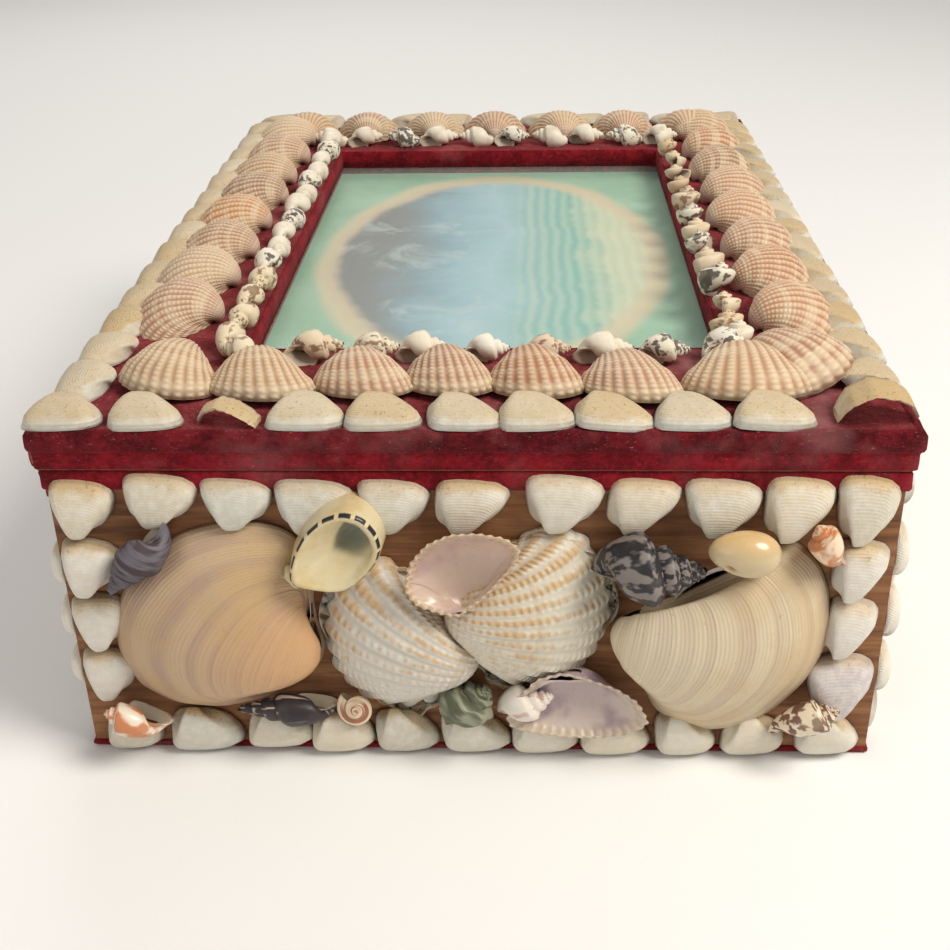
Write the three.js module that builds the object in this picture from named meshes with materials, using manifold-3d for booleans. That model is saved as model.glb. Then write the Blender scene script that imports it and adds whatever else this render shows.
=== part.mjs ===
// A hinged wooden keepsake box covered with sea shells. Millimetres, +Z up.
// The origin is on the ground under the middle of the box. The short side with the
// large shells faces -Y, and the lid is hinged along the -X side.
import * as THREE from 'three';
import Module from 'manifold-3d';

const wasm = await Module();
wasm.setup();

// Driving dimensions.
const BODY = { wide: 172, deep: 248, high: 71, wall: 5, floor: 4 };
const LID = { wide: 176, deep: 252, high: 9, board: 1.2, cloth: 1.4, hem: 0.6, lift: 0.3 };
const WINDOW = { left: -51, right: 54, near: -84, far: 84, lining: 0.8 };
const PICTURE = { card: 0.5, pane: 2, play: 0.2 };
const TRIM = { thick: 0.8, seamLow: 69.6, seamHigh: 70.8, footLow: 0.4, footHigh: 1.8 };
const HINGE = { cloth: 0.8, long: 246, bodyLow: 64, lidHigh: 78 };
const GLUE = 0.3;
const GAP = 0.4;
const FIT = 1.07;

// Shells on the walls: a row at the top, a row at the foot, and a column at each end.
const SHORT_ROW = { count: 11, pitch: 15.5 };
const LONG_ROW = { count: 15, pitch: 16 };
const COLUMN = { count: 3, inset: 0.6 };
const TOP_ROW_AT = 57.4;
const FOOT_ROW_AT = 2;
const FOOT_ROW_SHARE = 0.9;
const LID_TOP = BODY.high + LID.high;

const COLOURS = {
  wood: 0x8a6a48, velvet: 0x7d1424, cloth: 0xb8412c, card: 0x8fb08a, glass: 0xdfe8e6,
  ivory: 0xd9cfb8, bone: 0xc9bda4, pink: 0xc09a86, sand: 0xb59a72, buff: 0xc2a98c,
  grey: 0x6b6a6c, dark: 0x2c2a2b, orange: 0xb57a45, brown: 0x7c5a3a, mauve: 0x9a7f92,
  olive: 0x6e7466,
};

const finish = (name, roughness = 0.6) =>
  new THREE.MeshStandardMaterial({ color: COLOURS[name], roughness, metalness: 0 });

function piece(name, geometry, material) {
  const mesh = new THREE.Mesh(geometry, material);
  mesh.name = name;
  return mesh;
}

function block(name, material, [x0, x1], [y0, y1], [z0, z1]) {
  const mesh = piece(name, new THREE.BoxGeometry(x1 - x0, y1 - y0, z1 - z0), material);
  mesh.position.set((x0 + x1) / 2, (y0 + y1) / 2, (z0 + z1) / 2);
  return mesh;
}

// A closed skin over a stack of rings of [x, y, z] points. A ring of one point is a
// tip. The end rings are closed by a fan, unless the skin wraps round to its start.
function skin(rings, wraps = false) {
  const points = rings.flat();
  const starts = [];
  rings.reduce((total, ring) => {
    starts.push(total);
    return total + ring.length;
  }, 0);
  const faces = [];
  const edge = (r, i, next) =>
    rings[r].length === 1 ? [starts[r], starts[r]] : [starts[r] + i, starts[r] + next];
  const join = (a, b) => {
    const sides = Math.max(rings[a].length, rings[b].length);
    for (let i = 0; i < sides; i += 1) {
      const next = (i + 1) % sides;
      const [a0, a1] = edge(a, i, next);
      const [b0, b1] = edge(b, i, next);
      if (a0 !== a1) faces.push([a0, a1, b1]);
      if (b0 !== b1) faces.push([a0, b1, b0]);
    }
  };
  const cap = (ring, start, outward) => {
    if (ring.length === 1) return;
    const middle = [0, 1, 2].map((k) => ring.reduce((sum, p) => sum + p[k], 0) / ring.length);
    points.push(middle);
    ring.forEach((_, i) => {
      const [p, q] = [start + i, start + ((i + 1) % ring.length)];
      faces.push(outward ? [points.length - 1, p, q] : [points.length - 1, q, p]);
    });
  };
  for (let r = 0; r + 1 < rings.length; r += 1) join(r, r + 1);
  if (wraps) {
    join(rings.length - 1, 0);
  } else {
    cap(rings[0], starts[0], false);
    cap(rings.at(-1), starts.at(-1), true);
  }
  const volume = faces.reduce((sum, [a, b, c]) => {
    const [p, q, r] = [points[a], points[b], points[c]].map((v) => new THREE.Vector3(...v));
    return sum + p.dot(q.cross(r));
  }, 0);
  if (volume < 0) faces.forEach((face) => face.reverse());
  const geometry = new THREE.BufferGeometry();
  geometry.setAttribute('position', new THREE.Float32BufferAttribute(points.flat(), 3));
  geometry.setIndex(faces.flat());
  geometry.computeVertexNormals();
  return geometry;
}

// Joins and cuts.
function solid(geometry) {
  const vertProperties = new Float32Array(geometry.attributes.position.array);
  const triVerts = new Uint32Array(geometry.index.array);
  return new wasm.Manifold(new wasm.Mesh({ numProp: 3, vertProperties, triVerts }));
}

function shape(manifold) {
  const mesh = manifold.getMesh();
  const geometry = new THREE.BufferGeometry();
  geometry.setAttribute('position', new THREE.BufferAttribute(mesh.vertProperties, 3));
  geometry.setIndex(new THREE.BufferAttribute(mesh.triVerts, 1));
  geometry.computeVertexNormals();
  return geometry;
}

const fused = (parts) => shape(parts.map(solid).reduce((whole, part) => whole.add(part)));

// A piece that leans on its neighbours is cut back to clear them by a glue line.
function cutBack(geometry, ...neighbours) {
  return shape(neighbours.reduce((left, other) => {
    other.computeBoundingBox();
    const middle = other.boundingBox.getCenter(new THREE.Vector3());
    const size = other.boundingBox.getSize(new THREE.Vector3());
    const growth = size.toArray().map((length) => 1 + 2 * GLUE / length);
    const grown = other.clone().translate(...middle.clone().negate()).scale(...growth).translate(...middle);
    return left.subtract(solid(grown));
  }, solid(geometry)));
}

// A band round a rectangle, from one cross-section of [outward, up] points.
function hoop([x0, x1], [y0, y1], section) {
  const corners = [[x0, y0, -1, -1], [x1, y0, 1, -1], [x1, y1, 1, 1], [x0, y1, -1, 1]];
  const rings = corners.map(([x, y, right, back]) =>
    section.map(([out, up]) => [x + right * out, y + back * out, up]));
  return skin(rings, true);
}

const flatBand = (thick, low, high) => [[0, low], [thick, low], [thick, high], [0, high]];

// A row of like shells set end to end along x. Each station is where it is along the
// shell, from 0 to 1, and its cross-section of [across, up] points.
function shellRow({ count, pitch, from = -count * pitch / 2 }, stations) {
  const rings = [];
  const ring = (x, section) => section.map(([across, up]) => [x, across, up + GLUE]);
  for (let i = 0; i < count; i += 1) {
    stations.forEach(([along, section]) => rings.push(ring(from + (i + along) * pitch, section)));
  }
  rings.push(ring(from + count * pitch, stations[0][1]));
  return skin(rings);
}

const narrowed = (stations, share) => stations.map(([along, section]) =>
  [along, section.map(([across, up]) => [across * share, up])]);

// A wedge shell has one blunt end, a keel beside it, and tapers the other way.
const WEDGE = [
  [0, [[2, 0], [3.6, 1.2], [8, 1.2], [9.4, 0]]],
  [0.12, [[0, 0], [2.2, 2.8], [7.4, 3.9], [11.2, 0]]],
  [0.52, [[0.4, 0], [3, 3.3], [8, 3.4], [11, 0]]],
];

// A cockle of the lid lies hollow side down, its beak towards the window.
const COCKLE = [
  [0, [[3, 0], [4, 3.2], [12, 4.2], [15.5, 0]]],
  [0.25, [[0.6, 0], [3, 5.6], [12, 8.6], [18, 0]]],
  [0.6, [[0, 0], [2.6, 6], [12, 9.4], [18.6, 0]]],
];

const PLAIN_WEDGE = WEDGE.slice(0, 2);

// A small whelk: a thin tip, then the body whorl.
const WHELK = [
  [0, [[2.4, 0], [2.8, 1.8], [4.2, 1.8], [4.6, 0]]],
  [0.66, [[0, 0], [0.9, 4.4], [6.1, 4.4], [7, 0]]],
];

// One valve of a clam or cockle, hollow side down: the margin lies flat, each growth
// ring is turned and shrunk about the hinge line, and the beak is at the origin with
// the shell reaching along +y. Odd points are drawn in to form ribs.
const SMOOTH = [0, 0.45, 1, 1.7, 2.5];
function valve({
  long, high, curl = 1.2, lean = 0, around = 20, rib = 0, steps = SMOOTH, start = 0.05,
}) {
  const outline = [];
  for (let i = 0; i < around; i += 1) {
    const angle = 2 * Math.PI * (i + 0.5) / around;
    const drawn = i % 2 ? 1 - rib : 1;
    const reach = high * drawn * (start + (1 - start) * (1 - Math.cos(angle)) / 2);
    outline.push([long / 2 * drawn * Math.sin(angle) + lean * reach, reach]);
  }
  const turns = steps.map((turn) => {
    const shrink = Math.exp(-curl * turn);
    return outline.map(([x, y]) => [shrink * x, shrink * y * Math.cos(turn), shrink * y * Math.sin(turn)]);
  });
  return skin(turns);
}

// A valve that lies on its back, so its hollow shows: back, margin, lip and floor.
function openValve({ long, high, deep, thick, around = 14 }) {
  const ring = (size, up) => Array.from({ length: around }, (_, i) => {
    const angle = 2 * Math.PI * i / around;
    return [size * long / 2 * Math.sin(angle), high / 2 + size * high / 2 * -Math.cos(angle), up];
  });
  const lip = 1 - 2 * thick / high;
  return skin([ring(0.45, 0), ring(0.85, deep * 0.45), ring(1, deep), ring(lip, deep), ring(0.5, thick)]);
}

// A snail shell lying along x, tip first: [along, radius] steps, flat where it is glued.
function snail(steps, sides = 7, sunk = 0.75) {
  const middle = Math.max(...steps.map(([, radius]) => radius)) * sunk;
  return skin(steps.map(([along, radius]) => {
    if (radius === 0) return [[along, 0, middle * 0.4]];
    return Array.from({ length: sides }, (_, i) => {
      const angle = 2 * Math.PI * (i + 0.5) / sides;
      const up = middle * 0.4 + radius * (0.6 + Math.sin(angle));
      return [along, radius * Math.cos(angle), Math.max(0, up)];
    });
  }));
}

// Moves a shell to its place on a face: along, up, turned by degrees, and off the wall.
const placed = (geometry, x, y, turn = 0, off = 0) =>
  geometry.rotateZ(THREE.MathUtils.degToRad(turn)).translate(x, y, GLUE + off);

// Faces of the box. In each, x runs along the face, y is up and z points out.
const QUARTER = Math.PI / 2;
function face(quarters, out) {
  const turned = new THREE.Group();
  turned.rotation.z = quarters * QUARTER;
  const upright = new THREE.Group();
  upright.position.y = -out;
  upright.rotation.x = QUARTER;
  turned.add(upright);
  return { turned, upright };
}

const box = new THREE.Group();

// The wooden box: four glued walls and a bottom let in between them.
const side = BODY.wide / 2;
const end = BODY.deep / 2;
const between = [BODY.wall - end, end - BODY.wall];
const wood = finish('wood', 0.8);
box.add(
  block('box_wall_near', wood, [-side, side], [-end, BODY.wall - end], [0, BODY.high]),
  block('box_wall_far', wood, [-side, side], [end - BODY.wall, end], [0, BODY.high]),
  block('box_wall_hinge', wood, [-side, BODY.wall - side], between, [0, BODY.high]),
  block('box_wall_front', wood, [side - BODY.wall, side], between, [0, BODY.high]),
  block('box_bottom', wood, [BODY.wall - side, side - BODY.wall], between, [0, BODY.floor]),
);

// Velvet ribbon under the lid and round the foot.
const velvet = finish('velvet', 0.95);
const around = [[-side, side], [-end, end]];
box.add(
  piece('body_velvet_trim', hoop(...around, flatBand(TRIM.thick, TRIM.seamLow, TRIM.seamHigh)), velvet),
  piece('base_trim', hoop(...around, flatBand(TRIM.thick, TRIM.footLow, TRIM.footHigh)), velvet),
);

// The lid: a thin board, four rails round the window, and the glazed picture.
const lidSide = LID.wide / 2 - LID.cloth;
const lidEnd = LID.deep / 2 - LID.cloth;
const railLow = BODY.high + LID.board;
const rails = [railLow, LID_TOP];
const cardTop = railLow + PICTURE.card;
const paneTop = cardTop + PICTURE.pane;
const inLeft = WINDOW.left - WINDOW.lining;
const inRight = WINDOW.right + WINDOW.lining;
const inNear = WINDOW.near - WINDOW.lining;
const inFar = WINDOW.far + WINDOW.lining;
const glazing = [
  [inLeft + PICTURE.play, inRight - PICTURE.play],
  [inNear + PICTURE.play, inFar - PICTURE.play],
];
const lid = new THREE.Group();
lid.add(
  block('lid_board', wood, [-lidSide, lidSide], [-lidEnd, lidEnd], [BODY.high, railLow]),
  block('lid_rail_near', wood, [-lidSide, lidSide], [-lidEnd, inNear], rails),
  block('lid_rail_far', wood, [-lidSide, lidSide], [inFar, lidEnd], rails),
  block('lid_rail_hinge', wood, [-lidSide, inLeft], [inNear, inFar], rails),
  block('lid_rail_front', wood, [inRight, lidSide], [inNear, inFar], rails),
  block('picture_card', finish('card', 0.7), ...glazing, [railLow, cardTop]),
  block('window_glass', finish('glass', 0.05), ...glazing, [cardTop, paneTop]),
  piece('window_velvet', hoop([WINDOW.left, WINDOW.right], [WINDOW.near, WINDOW.far],
    flatBand(WINDOW.lining, paneTop, LID_TOP)), velvet),
  piece('lid_velvet_band', hoop([-lidSide, lidSide], [-lidEnd, lidEnd], [
    [0, BODY.high + LID.lift], [LID.hem, BODY.high + LID.lift], [LID.hem, BODY.high + 4],
    [LID.cloth, BODY.high + 5], [LID.cloth, LID_TOP], [0, LID_TOP]]), velvet),
);

// The cloth hinge: one strip of webbing glued to the wall and to the edge of the lid.
const webbing = finish('cloth', 0.95);
const hingeRun = [-HINGE.long / 2, HINGE.long / 2];
const lidEdge = LID.wide / 2;
box.add(block('hinge_cloth_lower', webbing, [-side - HINGE.cloth, -side],
  hingeRun, [HINGE.bodyLow, TRIM.seamLow - GLUE]));
lid.add(block('hinge_cloth_upper', webbing, [-lidEdge - HINGE.cloth, -lidEdge],
  hingeRun, [BODY.high + 2 * LID.lift, HINGE.lidHigh]));

// Shell rows of the lid, side by side from the edge to the window: wedge shells,
// cockles and whelks. In each group x runs along the side and y points inwards.
const WEDGES_AT = 0.8;
const COCKLES_AT = 12.4;
const COCKLE_WIDE = 18.6;
const WHELK_WIDE = 7;
const LID_ROWS = [
  { name: 'near', edge: LID.deep / 2, wedges: { count: 10, pitch: 15.6, from: -85.8 },
    cockles: { count: 8, pitch: 18.9, wide: 18.6 }, whelks: { count: 9, pitch: 12.8, wide: 7 } },
  { name: 'front', edge: LID.wide / 2, wedges: { count: 14, pitch: 15.9, from: -109.2 },
    cockles: { count: 10, pitch: 18.9, wide: 14.6 }, whelks: { count: 13, pitch: 13.2, wide: 6 } },
  { name: 'far', edge: LID.deep / 2, wedges: { count: 11, pitch: 15.6, from: -85.8 },
    cockles: { count: 7, pitch: 21.5, wide: 18.6 }, whelks: { count: 8, pitch: 14.4, wide: 7 } },
  { name: 'hinge', edge: LID.wide / 2, wedges: { count: 14, pitch: 16.2, from: -113.4 },
    cockles: { count: 10, pitch: 18.9, wide: 17 }, whelks: { count: 13, pitch: 13.2, wide: 6.4 } },
];
const bone = finish('bone', 0.55);
const pink = finish('pink', 0.6);
const speckled = finish('sand', 0.4);
LID_ROWS.forEach(({ name, edge, wedges, cockles, whelks }, quarters) => {
  const rows = new THREE.Group();
  rows.rotation.z = quarters * QUARTER;
  rows.position.z = LID_TOP;
  const wedgeRow = piece(`lid_wedges_${name}`, shellRow(wedges, quarters ? PLAIN_WEDGE : WEDGE), bone);
  wedgeRow.position.y = WEDGES_AT - edge;
  const cockleForm = narrowed(COCKLE, cockles.wide / COCKLE_WIDE);
  const cockleRow = piece(`lid_cockles_${name}`, shellRow(cockles, cockleForm), pink);
  cockleRow.position.y = COCKLES_AT - edge;
  const whelkForm = narrowed(WHELK, whelks.wide / WHELK_WIDE);
  const whelkRow = piece(`lid_whelks_${name}`, shellRow(whelks, whelkForm), speckled);
  whelkRow.position.y = COCKLES_AT + cockles.wide + GAP - edge;
  rows.add(wedgeRow, cockleRow, whelkRow);
  lid.add(rows);
});

// The large wedge shell on the near front corner is broken: a ragged hole opens at its
// outer corner, and what is left arches over it.
const BROKEN = { x: [71.2, 87.4], y: [-125.2, -113.9], high: 7.6, thick: 1.2 };
function brokenCorner() {
  const [x0, x1] = BROKEN.x;
  const [y0, y1] = BROKEN.y;
  const middle = (x0 + x1) / 2;
  const outer = [[x0, 0], [x0 + 3, 0.75], [middle, 1], [x1 - 2, 0.8], [x1, 0.3]];
  const section = (y, size, front) => {
    const top = outer.map(([x, up]) => [x, y, LID_TOP + GLUE + BROKEN.high * size * up]);
    const under = outer.toReversed().map(([x, up]) =>
      [x, y, LID_TOP + GLUE + (front ? Math.max(0, BROKEN.high * size * up - BROKEN.thick) : 0)]);
    top[0][2] = LID_TOP + GLUE + 1.2;
    return [...top, ...under];
  };
  return skin([
    section(y0, 0.45, true),
    section(y0 + 4, 0.8, true),
    section(y1 - 4, 1, false),
    section(y1, 0.55, false),
  ]);
}
lid.add(piece('lid_broken_corner_shell', brokenCorner(), bone));

// The shells of a wall, as closed skins in the wall's own frame: x along it, y up.
const FOOT_TOP = FOOT_ROW_AT + 11.2 * FOOT_ROW_SHARE;
const topRow = (row, stations, at = TOP_ROW_AT) => shellRow(row, stations).translate(0, at, 0);
const footRow = (row, stations) =>
  shellRow(row, narrowed(stations, FOOT_ROW_SHARE)).translate(0, FOOT_ROW_AT, 0);

// A column of fan shells, each with its point down.
const FAN = [
  [0, [[4.4, 0], [5, 1.4], [7, 1.4], [7.6, 0]]],
  [0.45, [[1, 0], [3.4, 4.4], [8.4, 4.4], [10.8, 0]]],
  [0.88, [[0, 0], [2.6, 5.4], [9, 5.4], [11.6, 0]]],
];
const PLAIN_FAN = [FAN[0], FAN[2]];
const FAN_WIDE = 11.6;
function columns(half, from, to, stations = FAN) {
  const run = { count: COLUMN.count, pitch: (to - from) / COLUMN.count, from };
  return [FAN_WIDE + COLUMN.inset - half, half - COLUMN.inset].map((x) =>
    shellRow(run, stations).rotateZ(QUARTER).translate(x, 0, 0));
}

// A low round shell seen from its top.
function button(wide, high, deep, sides = 9) {
  const ring = (size, up) => Array.from({ length: sides }, (_, i) => {
    const angle = 2 * Math.PI * i / sides;
    return [size * wide / 2 * Math.cos(angle), size * high / 2 * Math.sin(angle), up];
  });
  return skin([ring(1, 0), ring(0.9, deep * 0.45), ring(0.35, deep * 0.9), [[0, 0, deep]]]);
}

// Near wall. The four large valves lie flat on the wood; each form is placed by where
// its beak is and which way it points. The small shells lean on them.
const RIBBED = [0, 0.5, 1.2, 2.2];
const LARGE = {
  cockle_right: { at: [-3.4, 41.4, -97], long: 36, high: 32, curl: 0.85, around: 44, rib: 0.035, steps: RIBBED },
  cockle_left: {
    at: [-2.1, 30.2, 75], long: 41, high: 31, curl: 0.85, lean: 0.12, around: 40, rib: 0.04, steps: RIBBED,
  },
  clam_left: { at: [-32.6, 31.2, 90], long: 41.4, high: 41, curl: 1.2, lean: 0.2, around: 22 },
  clam_right: { at: [29.4, 36, -93], long: 43, high: 44.6, curl: 1.2, around: 22 },
};
const largeShell = (name) => placed(valve(LARGE[name]), ...LARGE[name].at);
function clearOf(name) {
  const { at, ...form } = LARGE[name];
  const smooth = { ...form, around: 16, rib: 0, start: 0.02, long: form.long * FIT, high: form.high * FIT };
  return placed(valve(smooth), ...at);
}
const large = Object.keys(LARGE).map(clearOf);
const [clearRight, clearLeft] = large;

const nearTop = topRow(SHORT_ROW, WEDGE);
const nearFoot = footRow({ ...SHORT_ROW, pitch: 15.2 }, WEDGE);
const [nearLeft, nearRight] = columns(side, FOOT_TOP + GAP, TOP_ROW_AT - GAP);
const onNearWall = {
  near_top_row: [nearTop, 'bone'],
  near_foot_row: [nearFoot, 'bone'],
  near_left_column: [nearLeft, 'bone'],
  near_right_column: [nearRight, 'bone'],
  cockle_right: [largeShell('cockle_right'), 'ivory'],
  cockle_left: [cutBack(largeShell('cockle_left'), clearRight), 'ivory'],
  clam_left: [cutBack(largeShell('clam_left'), clearLeft), 'buff'],
  clam_right: [largeShell('clam_right'), 'buff'],
  nerite: [cutBack(placed(openValve({ long: 19, high: 18, deep: 10, thick: 2.4, around: 12 }),
    -27.6, 45.4), ...large, nearTop), 'dark'],
  open_cockle: [cutBack(placed(openValve({ long: 23, high: 15, deep: 7, thick: 2 }), -1.6, 42.2, 0, 4.5),
    ...large), 'pink'],
  horn_shell: [cutBack(placed(snail([[0, 0.6], [5, 2.2], [10, 4.4], [15, 7], [20, 6.6], [23, 3]]),
    47, 52.6, 184), ...large), 'dark'],
  cowrie: [cutBack(placed(snail([[0, 0.8], [3, 3.4], [8, 4.8], [12, 4.2], [13.4, 1.8]]), 61.4, 54.3, 180),
    ...large), 'ivory'],
  orange_snail: [cutBack(placed(snail([[0, 1], [3, 3], [7, 3.6], [10, 1.6]]), 66.4, 54.4, -60),
    ...large, nearTop, nearRight), 'orange'],
  grey_horn: [cutBack(placed(snail([[0, 0.5], [7, 2.4], [14, 4.2], [18, 4], [20, 2]]), -74.4, 43, 50),
    ...large, nearLeft, nearTop), 'grey'],
  mottled_snail: [cutBack(placed(snail([[0, 0.8], [4, 3], [9, 4], [13.6, 1.6]]), -79.4, 15.6, -14, 4),
    ...large, nearLeft, nearFoot), 'orange'],
  banded_snail: [cutBack(placed(snail([[0, 0.5], [7, 2.2], [14, 3.4], [19, 3.2], [22, 1.4]]), -51.2, 16, 0),
    ...large, nearFoot), 'dark'],
  top_shell: [cutBack(placed(button(7.6, 7.6, 5), -24.6, 16.2, 0), ...large, nearFoot), 'brown'],
  rough_shell: [cutBack(placed(button(16, 10, 6), -3, 17.4, 20), ...large, nearFoot), 'olive'],
  white_whelk: [cutBack(placed(snail([[0, 0.5], [4, 2], [7.4, 3], [10.6, 1.6]]), 16.6, 17.4, 190),
    ...large, nearFoot), 'ivory'],
  open_ark: [cutBack(placed(openValve({ long: 20, high: 12, deep: 6, thick: 1.8 }), 27.6, 25, 180),
    ...large, nearFoot), 'mauve'],
  cone_shell: [cutBack(placed(snail([[0, 1], [4, 3], [9, 3.8], [13, 2]]), 62.4, 14.6, 22, 2),
    ...large, nearRight, nearFoot), 'brown'],
};
const nearWall = face(0, end);
Object.entries(onNearWall).forEach(([name, [geometry, colour]]) => {
  nearWall.upright.add(piece(name, geometry, finish(colour)));
});
box.add(nearWall.turned);

// The other walls carry the same rows, with large valves between them, beak up and
// beak down in turn, and a small snail in each gap. They touch, and are one skin.
const SNAIL = [[0, 1.7], [13, 3.7], [21.6, 2.2]];
const BITE = 0.9;
const BEAK = 1;
function wallShells(half, row, across, top) {
  const parts = [footRow(row, PLAIN_WEDGE), ...columns(half, FOOT_TOP - 2 * BITE, top, PLAIN_FAN)];
  const inner = half - FAN_WIDE - COLUMN.inset + BITE;
  const pitch = 2 * inner / across;
  const high = top - FOOT_TOP + BITE - BEAK;
  for (let i = 0; i < across; i += 1) {
    const x = -inner + (i + 0.5) * pitch;
    const beakUp = i % 2 === 1;
    const curl = beakUp ? 1.15 : 1.35;
    const form = { long: pitch + 2 * BITE, high, curl, around: 10, steps: [0, 0.6, 1.5] };
    parts.push(placed(valve(form), x, beakUp ? top - BEAK : top - BEAK - high, beakUp ? 180 : 0));
    if (i > 0) parts.push(placed(snail(SNAIL, 5), x - (pitch + SNAIL.at(-1)[0]) / 2, top - 4.8));
  }
  return fused(parts);
}
const plainWalls = [
  { name: 'front', quarters: 1, half: end, out: side, row: LONG_ROW, across: 6, top: TOP_ROW_AT },
  { name: 'far', quarters: 2, half: side, out: end, row: SHORT_ROW, across: 4, top: TOP_ROW_AT },
  { name: 'hinge', quarters: 3, half: end, out: side, row: LONG_ROW, across: 6, top: HINGE.bodyLow - 12 },
];
plainWalls.forEach(({ name, quarters, half, out, row, across, top }) => {
  const wall = face(quarters, out);
  wall.upright.add(
    piece(`${name}_top_row`, topRow(row, PLAIN_WEDGE, top), bone),
    piece(`${name}_shells`, wallShells(half, row, across, top - GAP), finish('ivory')),
  );
  box.add(wall.turned);
});

box.add(lid);
export default box;
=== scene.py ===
import math

import bpy
import numpy as np
from mathutils import Matrix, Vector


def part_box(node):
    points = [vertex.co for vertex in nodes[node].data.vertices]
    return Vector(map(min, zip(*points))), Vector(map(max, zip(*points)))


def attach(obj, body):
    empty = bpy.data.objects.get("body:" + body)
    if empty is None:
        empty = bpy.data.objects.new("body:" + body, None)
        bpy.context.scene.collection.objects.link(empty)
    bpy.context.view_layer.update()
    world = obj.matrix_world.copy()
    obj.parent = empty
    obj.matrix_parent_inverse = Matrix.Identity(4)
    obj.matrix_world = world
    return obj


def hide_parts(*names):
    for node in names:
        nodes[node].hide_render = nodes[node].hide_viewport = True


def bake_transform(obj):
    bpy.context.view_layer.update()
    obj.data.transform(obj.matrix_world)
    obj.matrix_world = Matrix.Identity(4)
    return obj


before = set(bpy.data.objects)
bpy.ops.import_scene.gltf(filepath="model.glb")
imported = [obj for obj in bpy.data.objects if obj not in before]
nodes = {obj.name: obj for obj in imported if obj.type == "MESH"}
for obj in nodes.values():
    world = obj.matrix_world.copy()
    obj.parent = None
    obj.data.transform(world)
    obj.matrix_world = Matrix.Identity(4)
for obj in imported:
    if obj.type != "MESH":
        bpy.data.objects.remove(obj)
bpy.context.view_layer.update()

# Studio: a pale floor, a large soft light over the right shoulder, a weaker one from
# the left, and a camera that looks down on the near short side.
EYE = (0.011265, -0.352741, 0.193966)
TURN = 0.0453
LOOK_DOWN = 0.4971
ROLL = -0.0199
LENS = 49.65


def placed(name, data):
    """An object of the scene that shows the data."""
    made = bpy.data.objects.new(name, data)
    bpy.context.scene.collection.objects.link(made)
    return made


camera = placed("camera", bpy.data.cameras.new("camera"))
bpy.context.scene.camera = camera
camera.data.lens = LENS
camera.data.sensor_width = 36
camera.data.clip_start = 0.01
camera.matrix_world = (
    Matrix.Translation(EYE)
    @ Matrix.Rotation(TURN, 4, "Z")
    @ Matrix.Rotation(math.pi / 2 - LOOK_DOWN, 4, "X")
    @ Matrix.Rotation(ROLL, 4, "Z")
)


def lamp(name, place, aim, size, power, tone):
    light = bpy.data.lights.new(name, "AREA")
    light.shape = "DISK"
    light.size = size
    light.energy = power
    light.color = tone
    holder = placed(name, light)
    gaze = Matrix.Translation(place).to_translation() - Matrix.Translation(aim).to_translation()
    holder.matrix_world = Matrix.Translation(place) @ gaze.to_track_quat("Z", "Y").to_matrix().to_4x4()


lamp("key", (0.55, -0.35, 0.75), (0, 0, 0.05), 0.45, 8.0, (1.0, 0.95, 0.86))
lamp("fill", (-0.7, -0.75, 0.5), (0, 0, 0.04), 0.7, 1.6, (1.0, 0.97, 0.93))
lamp("back", (-0.2, 0.9, 0.8), (0, 0, 0.05), 0.6, 3.2, (1.0, 0.97, 0.92))

bpy.context.scene.view_settings.view_transform = "Standard"
sky = bpy.data.worlds.new("sky")
sky.use_nodes = True
sky.node_tree.nodes["Background"].inputs["Color"].default_value = (1.0, 0.97, 0.93, 1)
sky.node_tree.nodes["Background"].inputs["Strength"].default_value = 0.36
bpy.context.scene.world = sky

floor_mesh = bpy.data.meshes.new("floor")
floor_mesh.from_pydata([(-3, -3, 0), (3, -3, 0), (3, 3, 0), (-3, 3, 0)], [], [(0, 1, 2, 3)])
floor = placed("floor", floor_mesh)
paper = bpy.data.materials.new("paper")
paper.use_nodes = True
paper.node_tree.nodes["Principled BSDF"].inputs["Base Color"].default_value = (0.9, 0.9, 0.9, 1)
paper.node_tree.nodes["Principled BSDF"].inputs["Roughness"].default_value = 0.9
floor_mesh.materials.append(paper)


# The wooden box: thin softwood boards, glued and nailed, left bare and gone brown with
# age. The grain runs along each board.
class Tone:
    """A value or colour in a finish. Sums on it add nodes."""

    def __init__(self, finish, socket):
        self.finish = finish
        self.socket = socket

    def __add__(self, other):
        return self.finish.maths("ADD", self, other)

    def __radd__(self, other):
        return self.finish.maths("ADD", other, self)

    def __sub__(self, other):
        return self.finish.maths("SUBTRACT", self, other)

    def __rsub__(self, other):
        return self.finish.maths("SUBTRACT", other, self)

    def __mul__(self, other):
        return self.finish.maths("MULTIPLY", self, other)

    def __rmul__(self, other):
        return self.finish.maths("MULTIPLY", other, self)

    def __truediv__(self, other):
        return self.finish.maths("DIVIDE", self, other)

    def __pow__(self, other):
        return self.finish.maths("POWER", self, other)


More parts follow.
